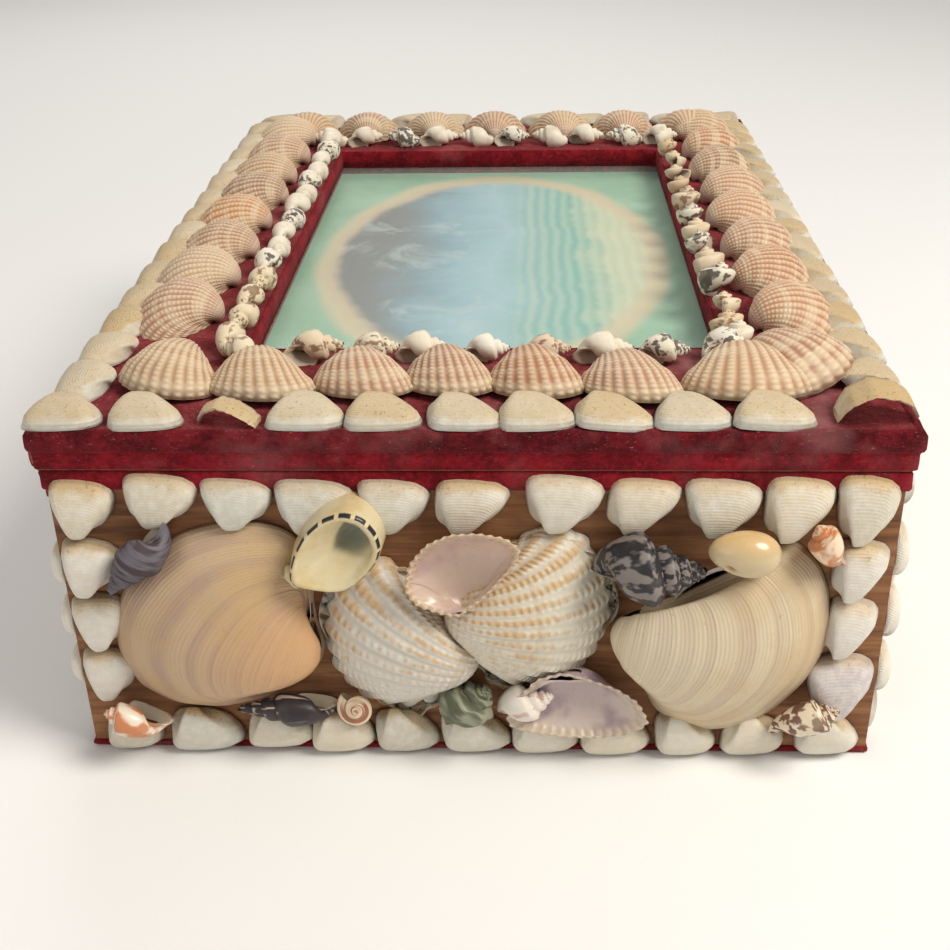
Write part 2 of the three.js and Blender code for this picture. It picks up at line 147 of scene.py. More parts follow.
class Finish:
    """A procedural material, with its fixed shader values given by name."""

    def __init__(self, name, **fixed):
        self.material = bpy.data.materials.new(name)
        self.material.use_nodes = True
        self.tree = self.material.node_tree
        self.shader = self.tree.nodes["Principled BSDF"]
        self.known = {}
        for socket, value in fixed.items():
            self.shader.inputs[socket.replace("_", " ")].default_value = value

    def feed(self, socket, value):
        if isinstance(value, Tone):
            self.tree.links.new(value.socket, socket)
        elif isinstance(value, tuple) and len(value) == 3 and socket.type == "RGBA":
            socket.default_value = (*value, 1)
        else:
            socket.default_value = value

    def node(self, kind, settings, sockets, out=0):
        made = self.tree.nodes.new("ShaderNode" + kind)
        for name, value in settings.items():
            if name == "stops":
                ramp = made.color_ramp
                while len(ramp.elements) > 1:
                    ramp.elements.remove(ramp.elements[-1])
                ramp.elements[0].position = value[0][0]
                ramp.elements[0].color = (*value[0][1], 1)
                for at, tone in value[1:]:
                    ramp.elements.new(at).color = (*tone, 1)
            else:
                setattr(made, name, value)
        for name, value in sockets.items():
            self.feed(made.inputs[name], value)
        return Tone(self, made.outputs[out])

    def once(self, name, make):
        if name not in self.known:
            self.known[name] = make()
        return self.known[name]

    @property
    def place(self):
        return self.once("place", lambda: self.node("TexCoord", {}, {}, "Object"))

    @property
    def facing(self):
        return self.once("facing", lambda: self.node("TexCoord", {}, {}, "Normal"))

    def part_of(self, vector, axis):
        return self.node("SeparateXYZ", {}, {0: vector}, "XYZ".index(axis))

    def stretched(self, vector, scale):
        return self.node("VectorMath", {"operation": "MULTIPLY"}, {0: vector, 1: scale})

    def joined(self, x, y, z=0.0):
        return self.node("CombineXYZ", {}, {0: x, 1: y, 2: z})

    def noise(self, scale, detail=3.0, rough=0.55, of=None, twist=0.0):
        sockets = {"Vector": of or self.place, "Scale": scale, "Detail": detail, "Roughness": rough}
        sockets["Distortion"] = twist
        return self.node("TexNoise", {}, sockets, "Fac")

    def cells(self, scale):
        return self.node("TexVoronoi", {}, {"Vector": self.place, "Scale": scale}, "Distance")

    def between(self, value, low, high):
        """0 at low, 1 at high, and a smooth step from one to the other."""
        return self.node("MapRange", {"interpolation_type": "SMOOTHSTEP"}, {0: value, 1: low, 2: high})

    def wave(self, value):
        return self.maths("COSINE", value * (2 * math.pi), 0.0) * 0.5 + 0.5

    def maths(self, operation, first, second):
        return self.node("Math", {"operation": operation}, {0: first, 1: second})

    def mix(self, share, first, second):
        return self.node("Mix", {"data_type": "RGBA"}, {0: share, 6: first, 7: second}, 2)

    def bump(self, height, depth, strength=1.0):
        return self.node("Bump", {}, {"Height": height, "Distance": depth, "Strength": strength})

    def wear(self, colour, roughness=None, normal=None):
        self.feed(self.shader.inputs["Base Color"], colour)
        if roughness is not None:
            self.feed(self.shader.inputs["Roughness"], roughness)
        if normal is not None:
            self.feed(self.shader.inputs["Normal"], normal)
        return self.material


def board_finish(name, grain):
    wood = Finish(name)
    along = wood.stretched(wood.place, grain)
    streaks = wood.noise(1.0, 5.0, 0.6, along, 0.4)
    pores = wood.noise(6.0, 2.0, 0.5, along)
    knots = wood.between(wood.cells(26.0), 0.05, 0.12)
    tone = wood.node("ValToRGB", {"stops": [
        (0.3, (0.11, 0.04, 0.015)), (0.5, (0.25, 0.105, 0.04)), (0.7, (0.36, 0.18, 0.08)),
    ]}, {0: streaks})
    tone = wood.mix((1 - knots) * 0.85, tone, (0.07, 0.03, 0.015))
    tone = wood.mix(wood.between(pores, 0.55, 0.75) * 0.4, tone, (0.15, 0.07, 0.03))
    return wood.wear(tone, 0.7 + streaks * 0.2, wood.bump(streaks + pores * 0.5, 0.0004, 0.6))


def dress(material, *names):
    for name in names:
        nodes[name].data.materials.clear()
        nodes[name].data.materials.append(material)


dress(board_finish("wood_across", (30, 900, 420)), "box_wall_near", "box_wall_far")
dress(board_finish("wood_along", (900, 26, 420)), "box_wall_hinge", "box_wall_front")
dress(board_finish("wood_flat", (420, 26, 900)), "box_bottom", "lid_board")


# Velvet: the rails of the lid are covered in it, a band goes round the lid's edge in
# two steps, and ribbon runs under the lid and round the foot. Its pile holds lint.
MM = 0.001
LID_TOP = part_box("lid_rail_near")[1][2] / MM


def velvet_finish(name, deep, bright, dust):
    pile = Finish(name, Sheen_Weight=0.3, Sheen_Roughness=0.4, Sheen_Tint=(0.8, 0.2, 0.22, 1))
    pile.shader.inputs["Specular IOR Level"].default_value = 0.1
    nap = pile.noise(900.0, 4.0, 0.7)
    brushed = pile.noise(120.0, 3.0, 0.6)
    lint = pile.noise(1.0, 4.0, 0.75, pile.stretched(pile.place, (900, 900, 2200)), 1.5)
    felt = pile.noise(46.0, 3.0, 0.6)
    tone = pile.mix(pile.between(nap * 0.5 + brushed * 0.6, 0.42, 0.7), deep, bright)
    tone = pile.mix(pile.between(lint, 0.6, 0.74) * dust, tone, (0.55, 0.4, 0.38))
    tone = pile.mix(pile.between(felt, 0.5, 0.75) * dust * 0.6, tone, (0.42, 0.2, 0.2))
    return pile.wear(tone, 0.95, pile.bump(nap * 0.6 + lint * 0.6 + brushed, 0.0006, 0.9))


crimson = velvet_finish("velvet_crimson", (0.11, 0.004, 0.008), (0.3, 0.012, 0.022), 0.35)
# A darker, dustier copy of the crimson velvet: painted shade for the upper step of the lid's edge band.
painted_shade_crimson = velvet_finish("velvet_painted_shade_crimson", (0.06, 0.004, 0.007), (0.19, 0.012, 0.018), 0.6)
dusty = velvet_finish("velvet_dusty", (0.12, 0.01, 0.014), (0.27, 0.04, 0.045), 0.95)
dress(dusty, "lid_rail_near", "lid_rail_far", "lid_rail_hinge", "lid_rail_front")


def loop_mesh(name, x_sides, y_sides, section, shake=0.0, pitch=2.0, seed=1):
    """A band round a rectangle, in mm, from a cross-section of (out, up) points."""
    chance = np.random.default_rng(seed)
    (x0, x1), (y0, y1) = x_sides, y_sides
    corners = [(x0, y0, -1, -1), (x1, y0, 1, -1), (x1, y1, 1, 1), (x0, y1, -1, 1)]
    out, up = np.array(section).T
    rings = []
    for start, stop in zip(corners, corners[1:] + corners[:1]):
        count = int(math.dist(start[:2], stop[:2]) / pitch)
        for share in np.arange(count) / count:
            x, y, right, back = (np.array(start) * (1 - share) + np.array(stop) * share)
            sharp = 1.0 if share == 0 else 0.0
            along_x = start[1] == stop[1]
            right = start[2] if sharp or not along_x else 0.0
            back = start[3] if sharp or along_x else 0.0
            wobble = chance.normal(0, shake, len(out))
            reach = out + wobble
            rings.append(np.stack([x + right * reach, y + back * reach, up + wobble * 0.5], 1))
    points = np.array(rings)
    rows, across = points.shape[:2]
    index = np.arange(rows * across).reshape(rows, across)
    next_row = np.roll(index, -1, 0)
    next_col = np.roll(index, -1, 1)
    far = np.roll(next_row, -1, 1)
    mesh = bpy.data.meshes.new(name)
    faces = np.stack([index, next_row, far, next_col], -1).reshape(-1, 4)
    mesh.from_pydata((points.reshape(-1, 3) * MM).tolist(), [], faces.tolist())
    mesh.polygons.foreach_set("use_smooth", np.ones(len(mesh.polygons), bool))
    return mesh


def velvet_piece(name, mesh, material, body, stands_for):
    piece = placed(name, mesh)
    mesh.materials.append(material)
    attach(piece, body)
    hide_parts(stands_for)


LID_SIDES = ((-86.6, 86.6), (-124.6, 124.6))
band_section = [
    (-0.5, 71.3), (0.3, 71.3), (0.62, 71.7), (0.68, 73.2), (0.64, 75.0), (0.8, 75.5), (1.25, 75.9),
    (1.42, 76.6), (1.44, 78.2), (1.36, 79.4), (1.0, 80.05), (0.2, 80.25), (-0.6, 80.1),
]
band = loop_mesh("lid_edge_velvet", *LID_SIDES, band_section, 0.05)
# The band's upper step wears the darker copy of the crimson, which is painted shade, and its lower step wears
# the crimson.
velvet_piece("lid_edge_velvet", band, painted_shade_crimson, "lid", "lid_velvet_band")
band.materials.append(crimson)
across = len(band_section)
lower = [i % across < 5 for i in range(len(band.polygons))]
band.polygons.foreach_set("material_index", np.array(lower, dtype=np.int32))

BODY_SIDES = ((-86, 86), (-124, 124))
ribbon = [(0.0, 66.6), (0.5, 66.5), (0.75, 67.2), (0.8, 69.6), (0.75, 70.6), (0.3, 70.9), (0.0, 70.8)]
foot = [(0.0, 0.4), (0.3, 0.4), (0.5, 0.8), (0.5, 1.5), (0.3, 1.8), (0.0, 1.8)]
velvet_piece("upper_ribbon", loop_mesh("upper_ribbon", *BODY_SIDES, ribbon, 0.04, seed=2),
             crimson, "box", "body_velvet_trim")
velvet_piece("foot_ribbon", loop_mesh("foot_ribbon", *BODY_SIDES, foot, 0.05, seed=3),
             crimson, "box", "base_trim")

low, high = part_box("window_velvet")
lining = [(0.0, 74.7), (0.8, 74.7), (0.85, 78.5), (0.8, 79.8), (0.45, 80.25), (0.1, 80.0), (-0.05, 79.0)]
window_sides = ((low[0] / MM + 0.8, high[0] / MM - 0.8), (low[1] / MM + 0.8, high[1] / MM - 0.8))
velvet_piece("window_lining", loop_mesh("window_lining", *window_sides, lining, 0.04, 1.5, 4),
             crimson, "lid", "window_velvet")


# The hinge is one strip of orange-red cotton webbing, glued to the wall and to the edge of the lid.
webbing = Finish("webbing", Sheen_Weight=0.3)
weft = webbing.wave(webbing.part_of(webbing.place, "Z") * 900.0)
warp = webbing.wave(webbing.part_of(webbing.place, "Y") * 620.0)
fray = webbing.noise(700.0, 3.0)
cotton = webbing.mix(webbing.between(fray, 0.3, 0.7), (0.34, 0.045, 0.018), (0.6, 0.12, 0.05))
cotton = webbing.mix((1 - weft) * 0.5, cotton, (0.2, 0.02, 0.01))
webbing.wear(cotton, 0.9, webbing.bump(weft + warp * 0.5 + fray * 0.4, 0.0003, 0.9))

strip = bpy.data.meshes.new("webbing_hinge")
profile = [(-86.1, 64.0), (-86.75, 64.05), (-86.8, 66.5), (-86.85, 69.0), (-87.6, 70.2), (-88.6, 71.2),
           (-88.85, 72.4), (-88.85, 75.0), (-88.8, 77.9), (-88.1, 78.0), (-88.1, 72.6), (-87.9, 71.5),
           (-87.0, 70.6), (-86.1, 69.6)]
stations = np.linspace(-123, 123, 125)
ring = len(profile)
strip.from_pydata(
    [(x * MM, y * MM, z * MM) for y in stations for x, z in profile], [],
    [(r * ring + i, r * ring + (i + 1) % ring, (r + 1) * ring + (i + 1) % ring, (r + 1) * ring + i)
     for r in range(len(stations) - 1) for i in range(ring)]
    + [tuple(range(ring)), tuple(range(len(stations) * ring - ring, len(stations) * ring))[::-1]],
)
strip.polygons.foreach_set("use_smooth", np.ones(len(strip.polygons), bool))
strip.materials.append(webbing.material)
hinge = placed("webbing_hinge", strip)
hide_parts("hinge_cloth_lower", "hinge_cloth_upper")
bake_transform(hinge)


# The window: a coloured seaside print on card, under a plain pane of glass. The print
# is a soft oval scene of sky, cloud, sea and shore on a pale green ground.
print_ink = Finish("seaside_print", Roughness=0.55)
low, high = (np.array(corner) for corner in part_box("picture_card"))
middle = (low + high) / 2
reach = (high - low) / 2
spot = print_ink.place
east = (print_ink.part_of(spot, "X") - float(middle[0])) / float(reach[0])
north = (print_ink.part_of(spot, "Y") - float(middle[1])) / float(reach[1])
drift = print_ink.noise(26.0, 4.0, 0.6)
wisps = print_ink.noise(60.0, 5.0, 0.65, twist=0.8)
oval = (east * east * 1.25 + north * north * 1.15) ** 0.5 + (drift - 0.5) * 0.16
sky_tone = print_ink.node("ValToRGB", {"stops": [
    (0.0, (0.1, 0.12, 0.13)), (0.22, (0.2, 0.24, 0.26)), (0.34, (0.16, 0.33, 0.42)), (0.5, (0.3, 0.5, 0.55)),
    (0.6, (0.2, 0.42, 0.4)), (0.72, (0.13, 0.4, 0.33)), (0.8, (0.5, 0.55, 0.36)), (0.95, (0.62, 0.6, 0.4)),
]}, {0: east * 0.5 + 0.5 + (drift - 0.5) * 0.35})
cloud = print_ink.between(wisps, 0.5, 0.68) * print_ink.between(east, 0.35, -0.3)
gloom = print_ink.between(east + (drift - 0.5) * 0.5, -0.15, -0.6)
scene_tone = print_ink.mix(gloom * 0.8, sky_tone, (0.1, 0.1, 0.09))
scene_tone = print_ink.mix(cloud * 0.45, scene_tone, (0.5, 0.58, 0.56))
swell = print_ink.wave(east * 15.0 + (drift - 0.5) * 2.4)
on_sea = print_ink.between(east, 0.08, 0.2)
scene_tone = print_ink.mix(swell * on_sea * 0.28, scene_tone, (0.66, 0.72, 0.55))
ground = print_ink.mix(print_ink.between(drift, 0.35, 0.65), (0.2, 0.42, 0.26), (0.3, 0.52, 0.36))
edge = print_ink.between(oval, 0.86, 0.94) * print_ink.between(oval, 1.06, 0.98)
print_tone = print_ink.mix(print_ink.between(oval, 0.93, 0.99), scene_tone, ground)
print_tone = print_ink.mix(edge * 0.85, print_tone, (0.62, 0.5, 0.3))
print_ink.wear(print_tone, None, print_ink.bump(print_ink.noise(2500.0, 2.0), 0.00005))


def flat_sheet(name, corner_low, corner_high, bottom, top, cells=24):
    """A thin sheet in mm between two corners."""
    x = np.linspace(corner_low[0], corner_high[0], cells)
    y = np.linspace(corner_low[1], corner_high[1], cells)
    gx, gy = np.meshgrid(x, y)
    upper, under = (np.stack([gx, gy, np.full_like(gx, up)], -1).reshape(-1, 3) for up in (top, bottom))
    index = np.arange(cells * cells).reshape(cells, cells)
    faces = np.stack([index[:-1, :-1], index[:-1, 1:], index[1:, 1:], index[1:, :-1]], -1).reshape(-1, 4)
    rim = np.r_[index[0, :-1], index[:-1, -1], index[-1, :0:-1], index[:0:-1, 0]]
    sides = [(a, a + cells * cells, b + cells * cells, b) for a, b in zip(rim, np.roll(rim, -1))]
    mesh = bpy.data.meshes.new(name)
    both = np.concatenate([faces, faces[:, ::-1] + cells * cells, sides]).tolist()
    mesh.from_pydata((np.concatenate([upper, under]) * MM).tolist(), [], both)
    piece = placed(name, mesh)
    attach(piece, "lid")
    return piece


card_low, card_high = low / MM, high / MM
print_sheet = flat_sheet("seaside_print", card_low, card_high, card_low[2] + 0.02, card_high[2] - 0.12)
print_sheet.data.materials.append(print_ink.material)
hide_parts("picture_card")

pane = Finish("pane", Roughness=0.04, Alpha=0.1, IOR=1.5)
haze = pane.noise(30.0, 3.0)
pane.wear((0.85, 0.93, 0.92), 0.03 + haze * 0.08)
glass_low, glass_high = (np.array(corner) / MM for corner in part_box("window_glass"))
pane_sheet = flat_sheet("window_pane", glass_low, glass_high, glass_low[2], glass_high[2], cells=3)
pane_sheet.data.materials.append(pane.material)
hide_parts("window_glass")


# Wedge shells: small ivory valves with one blunt end, a keel, and a tapered end. They
# lie hollow side down in glue, in a row round the edge of the lid and on each wall.
def spread(values, count):
    return np.interp(np.linspace(0, 1, count), np.linspace(0, 1, len(values)), values)


def blurred(values, span):
    """The values of a closed curve, each averaged over its neighbours."""
    blur = np.hanning(span) / np.hanning(span).sum()
    return np.convolve(np.r_[values[-span:], values, values[:span]], blur, "same")[span:-span]


def closed_curve(corners, count, span):
    """Even stations from 0 to 1 round a closed outline, and its rounded x and y there."""
    dense = np.linspace(0, 1, count)
    steps = np.r_[0, np.cumsum(np.hypot(*np.diff(corners, axis=0).T))]
    return dense, *(blurred(np.interp(dense, steps / steps[-1], corners[:, k]), span) for k in (0, 1))


def wedge_outline(u, umbo):
    """Outline of a wedge valve about its umbo, from 0 to 1 round the margin."""
    corners = np.array([
        (0.04, 0.0), (0.28, 0.02), (0.48, 0.14), (0.63, 0.4), (0.69, 0.62), (0.65, 0.8), (0.5, 0.93),
        (0.2, 0.99), (-0.12, 1.0), (-0.27, 0.97), (-0.34, 0.84), (-0.34, 0.5), (-0.31, 0.2), (-0.22, 0.03),
        (-0.04, 0.0), (0.04, 0.0),
    ])
    dense, x, y = closed_curve(corners, 400, 19)
    x = x + umbo * y
    return np.interp(u, dense, x), np.interp(u, dense, y)


def round_outline(u, lean, wing=0.0, start=0.03):
    """Outline of a cockle or clam valve, leaning and drawn out to one side."""
    turn = 2 * math.pi * u
    y = start + (1 - start) * (1 - np.cos(turn)) / 2
    x = np.sin(turn) / 2
    x = np.where(x > 0, x * (1 + wing * (1 - y)), x)
    return x + lean * y, y


def surface_normals(points):
    down = np.gradient(points, axis=0)
    right = np.gradient(points, axis=1)
    normal = np.cross(down, right)
    return normal / np.maximum(np.linalg.norm(normal, axis=2, keepdims=True), 1e-9)


class Part:
    """A grid of points in mm with, at each, its rib, its growth ring and its size."""

    def __init__(self, points, rib, ring, size, tint=(0.8, 0.8, 0.8), coat=0, luck=0.5):
        self.points = points
        blank = np.zeros(points.shape[:2])
        self.grain = np.stack([blank + rib, blank + ring, blank + size], -1)
        self.tint = (*tint, luck)
        self.coat = coat

    def moved(self, turn, shift=(0, 0, 0)):
        self.points = self.points @ np.array(turn).T + np.array(shift)
        return self

    def coloured(self, tint, luck=0.5, coat=0):
        self.tint = (*tint, luck)
        self.coat = coat
        return self


def spin(axis, degrees):
    return np.array(Matrix.Rotation(math.radians(degrees), 3, axis))


def valve(long, high, deep, outline, curl=0.85, ribs=0, relief=0.0, columns=40, rows=16, lip=0.7, rings=20,
          wind=2.8, ledges=(), full=0.75):
    """One valve, hollow side down: margin on the ground, beak at the origin."""
    count = (ribs * 5 if ribs else columns) + 1
    u = np.linspace(0, 1, count)
    x, y = outline(u)
    wide = x.max() - x.min()
    x, y = x * long / wide, y * high
    turn = wind * np.linspace(0, 1, rows) ** 1.1
    size = np.exp(-curl * turn)
    points = np.stack([
        size[:, None] * x,
        size[:, None] * y * np.cos(turn)[:, None],
        size[:, None] * y * np.sin(turn)[:, None],
    ], -1)
    points[..., 2] = deep * np.maximum(points[..., 2] / points[..., 2].max(), 0) ** full
    normal = surface_normals(points)
    if normal[rows // 3, count // 2, 2] < 0:
        normal = -normal
    phase = u * (ribs or 1)
    lift = np.zeros(points.shape[:2])
    if ribs:
        crest = (0.5 + 0.5 * np.cos(2 * math.pi * phase)) ** 0.75
        fade = np.clip(np.minimum(u, 1 - u) * 14 - 0.3, 0, 1)
        lift += relief * size[:, None] ** 0.8 * (crest - 0.6) * fade
    for at, drop in ledges:
        lift += drop * np.clip((size[:, None] - at) / 0.03, -0.5, 0.5)
    points = points + normal * lift[..., None]
    margin = points[0].copy()
    margin[:, 2] = 0
    hub = np.array([x.mean(), y.mean(), 0])
    inner = hub + (margin - hub) * (1 - 2 * lip / max(high, 1))
    roof = inner + np.array([0, 0, lip * 1.6])
    points = np.concatenate([[roof], [inner], points])
    size = np.r_[1.12, 1.08, size]
    return Part(points, phase[None, :], (rings * (1 - size))[:, None], size[:, None])


def quads(rows, across, start):
    index = np.arange(rows * across).reshape(rows, across) + start
    return np.stack([index[:-1, :-1], index[:-1, 1:], index[1:, 1:], index[1:, :-1]], -1).reshape(-1, 4)


def cast(name, body, coats, parts, stands_for):
    """Makes one piece of several parts, and puts it on its body."""
    rows_of = []
    start = 0
    for part in parts:
        rows, across = part.points.shape[:2]
        made = quads(rows, across, start)
        normal = surface_normals(part.points).reshape(-1, 3)
        flat = part.points.reshape(-1, 3)
        if np.sum(normal * (flat - flat.mean(0))) < 0:
            made = made[:, ::-1]
        tint = np.tile(part.tint, (rows * across, 1))
        rows_of.append((flat, made, part.grain.reshape(-1, 3), tint, np.full(len(made), part.coat)))
        start += rows * across
    points, faces, grain, tint, coat = (np.concatenate(column) for column in zip(*rows_of))
    mesh = bpy.data.meshes.new(name)
    mesh.vertices.add(len(points))
    mesh.vertices.foreach_set("co", (points * MM).astype(np.float32).ravel())
    mesh.loops.add(faces.size)
    mesh.loops.foreach_set("vertex_index", faces.astype(np.int32).ravel())
    mesh.polygons.add(len(faces))
    mesh.polygons.foreach_set("loop_start", np.arange(0, faces.size, 4, dtype=np.int32))
    mesh.update(calc_edges=True)
    mesh.polygons.foreach_set("use_smooth", np.ones(len(faces), bool))
    mesh.polygons.foreach_set("material_index", coat.astype(np.int32))
    for held, kind, field, values in (("grain", "FLOAT_VECTOR", "vector", grain),
                                      ("tint", "FLOAT_COLOR", "color", tint)):
        data = mesh.attributes.new(held, kind, "POINT").data
        data.foreach_set(field, values.astype(np.float32).ravel())
    for material in coats:
        mesh.materials.append(material)
    piece = placed(name, mesh)
    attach(piece, body)
    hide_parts(stands_for)


class ShellFinish(Finish):
    """A shell's finish, which follows its ribs, its growth rings and its own tint."""

    def __init__(self, name, **fixed):
        super().__init__(name, **{"Roughness": 0.45, "Specular_IOR_Level": 0.4, **fixed})
        grain = self.node("Attribute", {"attribute_name": "grain"}, {}, "Vector")
        self.rib, self.ring, self.size = (self.part_of(grain, axis) for axis in "XYZ")
        self.tint = self.node("Attribute", {"attribute_name": "tint"}, {}, "Color")
        self.luck = self.node("Attribute", {"attribute_name": "tint"}, {}, "Alpha")
        self.banding = self.node("TexNoise", {"noise_dimensions": "1D"}, {
            "W": self.ring * 0.32 + self.luck * 40, "Scale": 1.0, "Detail": 3.0}, "Fac")


def wedge_finish():
    ivory = ShellFinish("wedge_shell", Roughness=0.42)
    up = ivory.part_of(ivory.facing, "Z")
    blot = ivory.noise(230.0, 4.0, 0.6)
    pits = ivory.noise(1500.0, 3.0, 0.7)
    chalk = ivory.noise(520.0, 3.0, 0.6)
    stained = ivory.between(up + (blot - 0.5) * 1.1, 0.3, 0.85) * (0.45 + 0.55 * ivory.luck)
    facet = ivory.between(ivory.rib, 0.62, 0.7)
    tone = ivory.mix(ivory.between(chalk, 0.35, 0.7) * 0.5, ivory.tint, (0.76, 0.74, 0.68))
    tone = ivory.mix(ivory.between(ivory.banding, 0.5, 0.7) * 0.22, tone, (0.62, 0.52, 0.36))
    tone = ivory.mix(stained * 0.85, tone, (0.52, 0.36, 0.16))
    tone = ivory.mix(ivory.between(pits, 0.56, 0.68) * stained * 0.8, tone, (0.22, 0.12, 0.045))
    tone = ivory.mix(ivory.between(ivory.size, 0.97, 1.0) * 0.5, tone, (0.8, 0.78, 0.72))
    lines = ivory.wave(ivory.ring * 2.0)
    fine_ribs = ivory.wave(ivory.rib * 70.0)
    relief = lines * 0.25 + pits * 0.5 + chalk * 0.6 + fine_ribs * facet * 0.5
    return ivory.wear(tone, 0.34 + chalk * 0.3, ivory.bump(relief, 0.00022, 0.7))


wedge_coat = wedge_finish()


def wedge(chance, long=15.3, high=10.6, deep=3.4):
    skew = chance.uniform(-0.12, 0.14)
    part = valve(long, high, deep * chance.uniform(0.92, 1.08), lambda u: wedge_outline(u, skew), curl=0.75,
                 columns=40, rows=14, lip=0.6, rings=14, full=0.5, wind=2.6)
    shade = chance.uniform(0.88, 1.05)
    warm = chance.uniform(-0.03, 0.03)
    return part.coloured((0.66 * shade + warm, 0.61 * shade, 0.5 * shade - warm), chance.uniform(0, 1))


def beak_in(part):
    """Turns a valve for the lid: margin at the outside, beak inwards, middle at 0."""
    part.points[..., 1] *= -1
    margin = part.points[2]
    return part.moved(np.eye(3), (-(margin[:, 0].min() + margin[:, 0].max()) / 2, -margin[:, 1].min(), 0))


def lid_face(quarter, edge):
    """From a side of the lid (x along, y inwards, z up from its top) to the room."""
    turn = spin("Z", 90 * quarter)
    return turn, turn @ np.array([0, -edge, 0]) + np.array([0, 0, LID_TOP])


def wall_face(quarter, out):
    """From a wall (x along, y up, z out of it) to the room."""
    turn = spin("Z", 90 * quarter)
    return turn @ spin("X", 90), turn @ np.array([0, -out, 0])


def settled(part, x, y, turn=0.0, off=0.0, tilt=0.0, roll=0.0):
    """Lays a part on its face, turned about the upright, tilted and rolled."""
    part.moved(spin("Z", turn) @ spin("X", tilt) @ spin("Y", roll))
    return part.moved(np.eye(3), (x, y, off))


def fitted(part, left, right, low, high, off=0.3):
    """Fits a part's margin to a rectangle on its face."""
    flat = part.points[..., :2].reshape(-1, 2)
    small, large = flat.min(0), flat.max(0)
    scale = np.array([(right - left) / (large[0] - small[0]), (high - low) / (large[1] - small[1]), 1.0])
    part.points = part.points * scale
    return part.moved(np.eye(3), (left - small[0] * scale[0], low - small[1] * scale[1], off))


lid_sides = {"near": (0, 126), "front": (1, 88), "far": (2, 126), "hinge": (3, 88)}
wedge_rows = {
    "near": [(-81.2, 15.5), (-64.7, 15.6), (-32.6, 15.4), (-17.1, 15.4), (-0.9, 15.2), (13.3, 15.4),
             (28.2, 16.0), (43.7, 15.4), (59.4, 16.4)],
    "front": [(-109.2 + 15.9 * (i + 0.5), 16.6) for i in range(14)],
    "far": [(-85.8 + 15.6 * (i + 0.5), 15.6) for i in range(11)],
    "hinge": [(-113.4 + 16.2 * (i + 0.5), 17.0) for i in range(14)],
}
for seed, (side, row) in enumerate(wedge_rows.items()):
    chance = np.random.default_rng(20 + seed)
    parts = []
    for x, long in row:
        part = beak_in(wedge(chance, long + 0.5, 11.4, 3.9))
        settled(part, x, 0.2, chance.uniform(-4, 4), 0.25, roll=chance.uniform(-2, 4))
        part.moved(*lid_face(*lid_sides[side]))
        parts.append(part)
    cast(f"wedges_{side}", "lid", [wedge_coat], parts, f"lid_wedges_{side}")


# Two wedge shells of the lid are broken: the large one on the near front corner, open
# at its outer edge, and one of the near row, of which a thin arch is left standing.
def arch(spine, wide, thick, chance):
    """A curved shard with torn edges, on a spine of points: x, z and share of the width."""
    count = 26
    x, z, grow = (spread(values, count) for values in np.array(spine).T)
    half = wide / 2 * grow
    rough = chance.normal(0, 0.22, count)
    section = [(-1, 0), (-0.6, 0.35), (0, 0.5), (0.6, 0.35), (1, 0),
               (0.6, -thick), (0, -thick), (-0.6, -thick), (-1, 0)]
    points = np.stack([
        np.stack([x, side * half + rough * abs(side), z + rise], -1)
        for side, rise in section
    ], 1)
    return Part(points, 0.0, 6 * np.array([s for s, _ in section])[None, :], 0.8, (0.78, 0.68, 0.5), 0, 0.9)


chance = np.random.default_rng(31)
shard = arch([(-8.2, 0.6, 0.5), (-7.0, 2.6, 0.75), (-4.2, 3.9, 0.9), (-1.2, 3.4, 0.95), (1.6, 1.9, 0.9),
              (3.8, 0.3, 0.75)], 6.5, 0.9, chance)
shard.moved(spin("Z", -8), (-45.6, 4.2, 0.5)).moved(*lid_face(0, 126))
corner_low, corner_high = (np.array(end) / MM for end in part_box("lid_broken_corner_shell"))
reach = (corner_high - corner_low) / 2
corner_spine = [(-reach[0] + 0.4, 0.8, 0.6), (-5.6, 4.4, 0.85), (-1.6, 6.6, 1.0), (2.6, 6.2, 1.0),
                (5.8, 4.6, 0.9), (reach[0] - 0.4, 1.4, 0.5)]
corner = arch(corner_spine, 2 * reach[1] - 1.0, 1.0, chance).coloured((0.6, 0.47, 0.28), 0.95)
corner.moved(np.eye(3), (*(corner_low + reach)[:2], corner_low[2]))
cast("broken_arch", "lid", [wedge_coat], [shard, corner], "lid_broken_corner_shell")


# Lid cockles: ribbed valves in a ring inside the wedge shells, hollow side down, with
# their beaks towards the window. Along the sides each nearer one laps the next.
def cockle_finish():
    ribbed = ShellFinish("cockle_shell", Roughness=0.5)
    crest = ribbed.wave(ribbed.rib)
    bead = ribbed.wave(ribbed.ring)
    dust = ribbed.noise(420.0, 4.0, 0.65)
    blot = ribbed.noise(95.0, 3.0, 0.5)
    up = ribbed.part_of(ribbed.facing, "Z")
    bands = ribbed.between(ribbed.banding, 0.38, 0.62)
    stain = ribbed.between(blot + bands * 0.5 + up * 0.45, 0.62, 1.2) * (0.55 + 0.45 * ribbed.luck)
    cream = ribbed.mix(dust * 0.6, (0.72, 0.58, 0.4), (0.58, 0.43, 0.27))
    tone = ribbed.mix(stain * (1 - crest * 0.55), cream, ribbed.tint)
    # Darker between the ribs: painted shade in the grooves, deeper where the shell is stained.
    tone = ribbed.mix((1 - crest) ** 2 * (0.3 + 0.35 * stain), tone, (0.3, 0.15, 0.08))
    tone = ribbed.mix(bead * crest * 0.4, tone, (0.8, 0.7, 0.54))
    tone = ribbed.mix(ribbed.between(ribbed.size, 0.4, 0.12) * 0.7, tone, (0.55, 0.4, 0.36))
    tone = ribbed.mix(ribbed.between(ribbed.size, 1.0, 1.04), tone, (0.86, 0.8, 0.7))
    relief = bead * crest * 0.5 + dust * 0.5
    return ribbed.wear(tone, 0.42 + dust * 0.3, ribbed.bump(relief, 0.0003, 0.8))


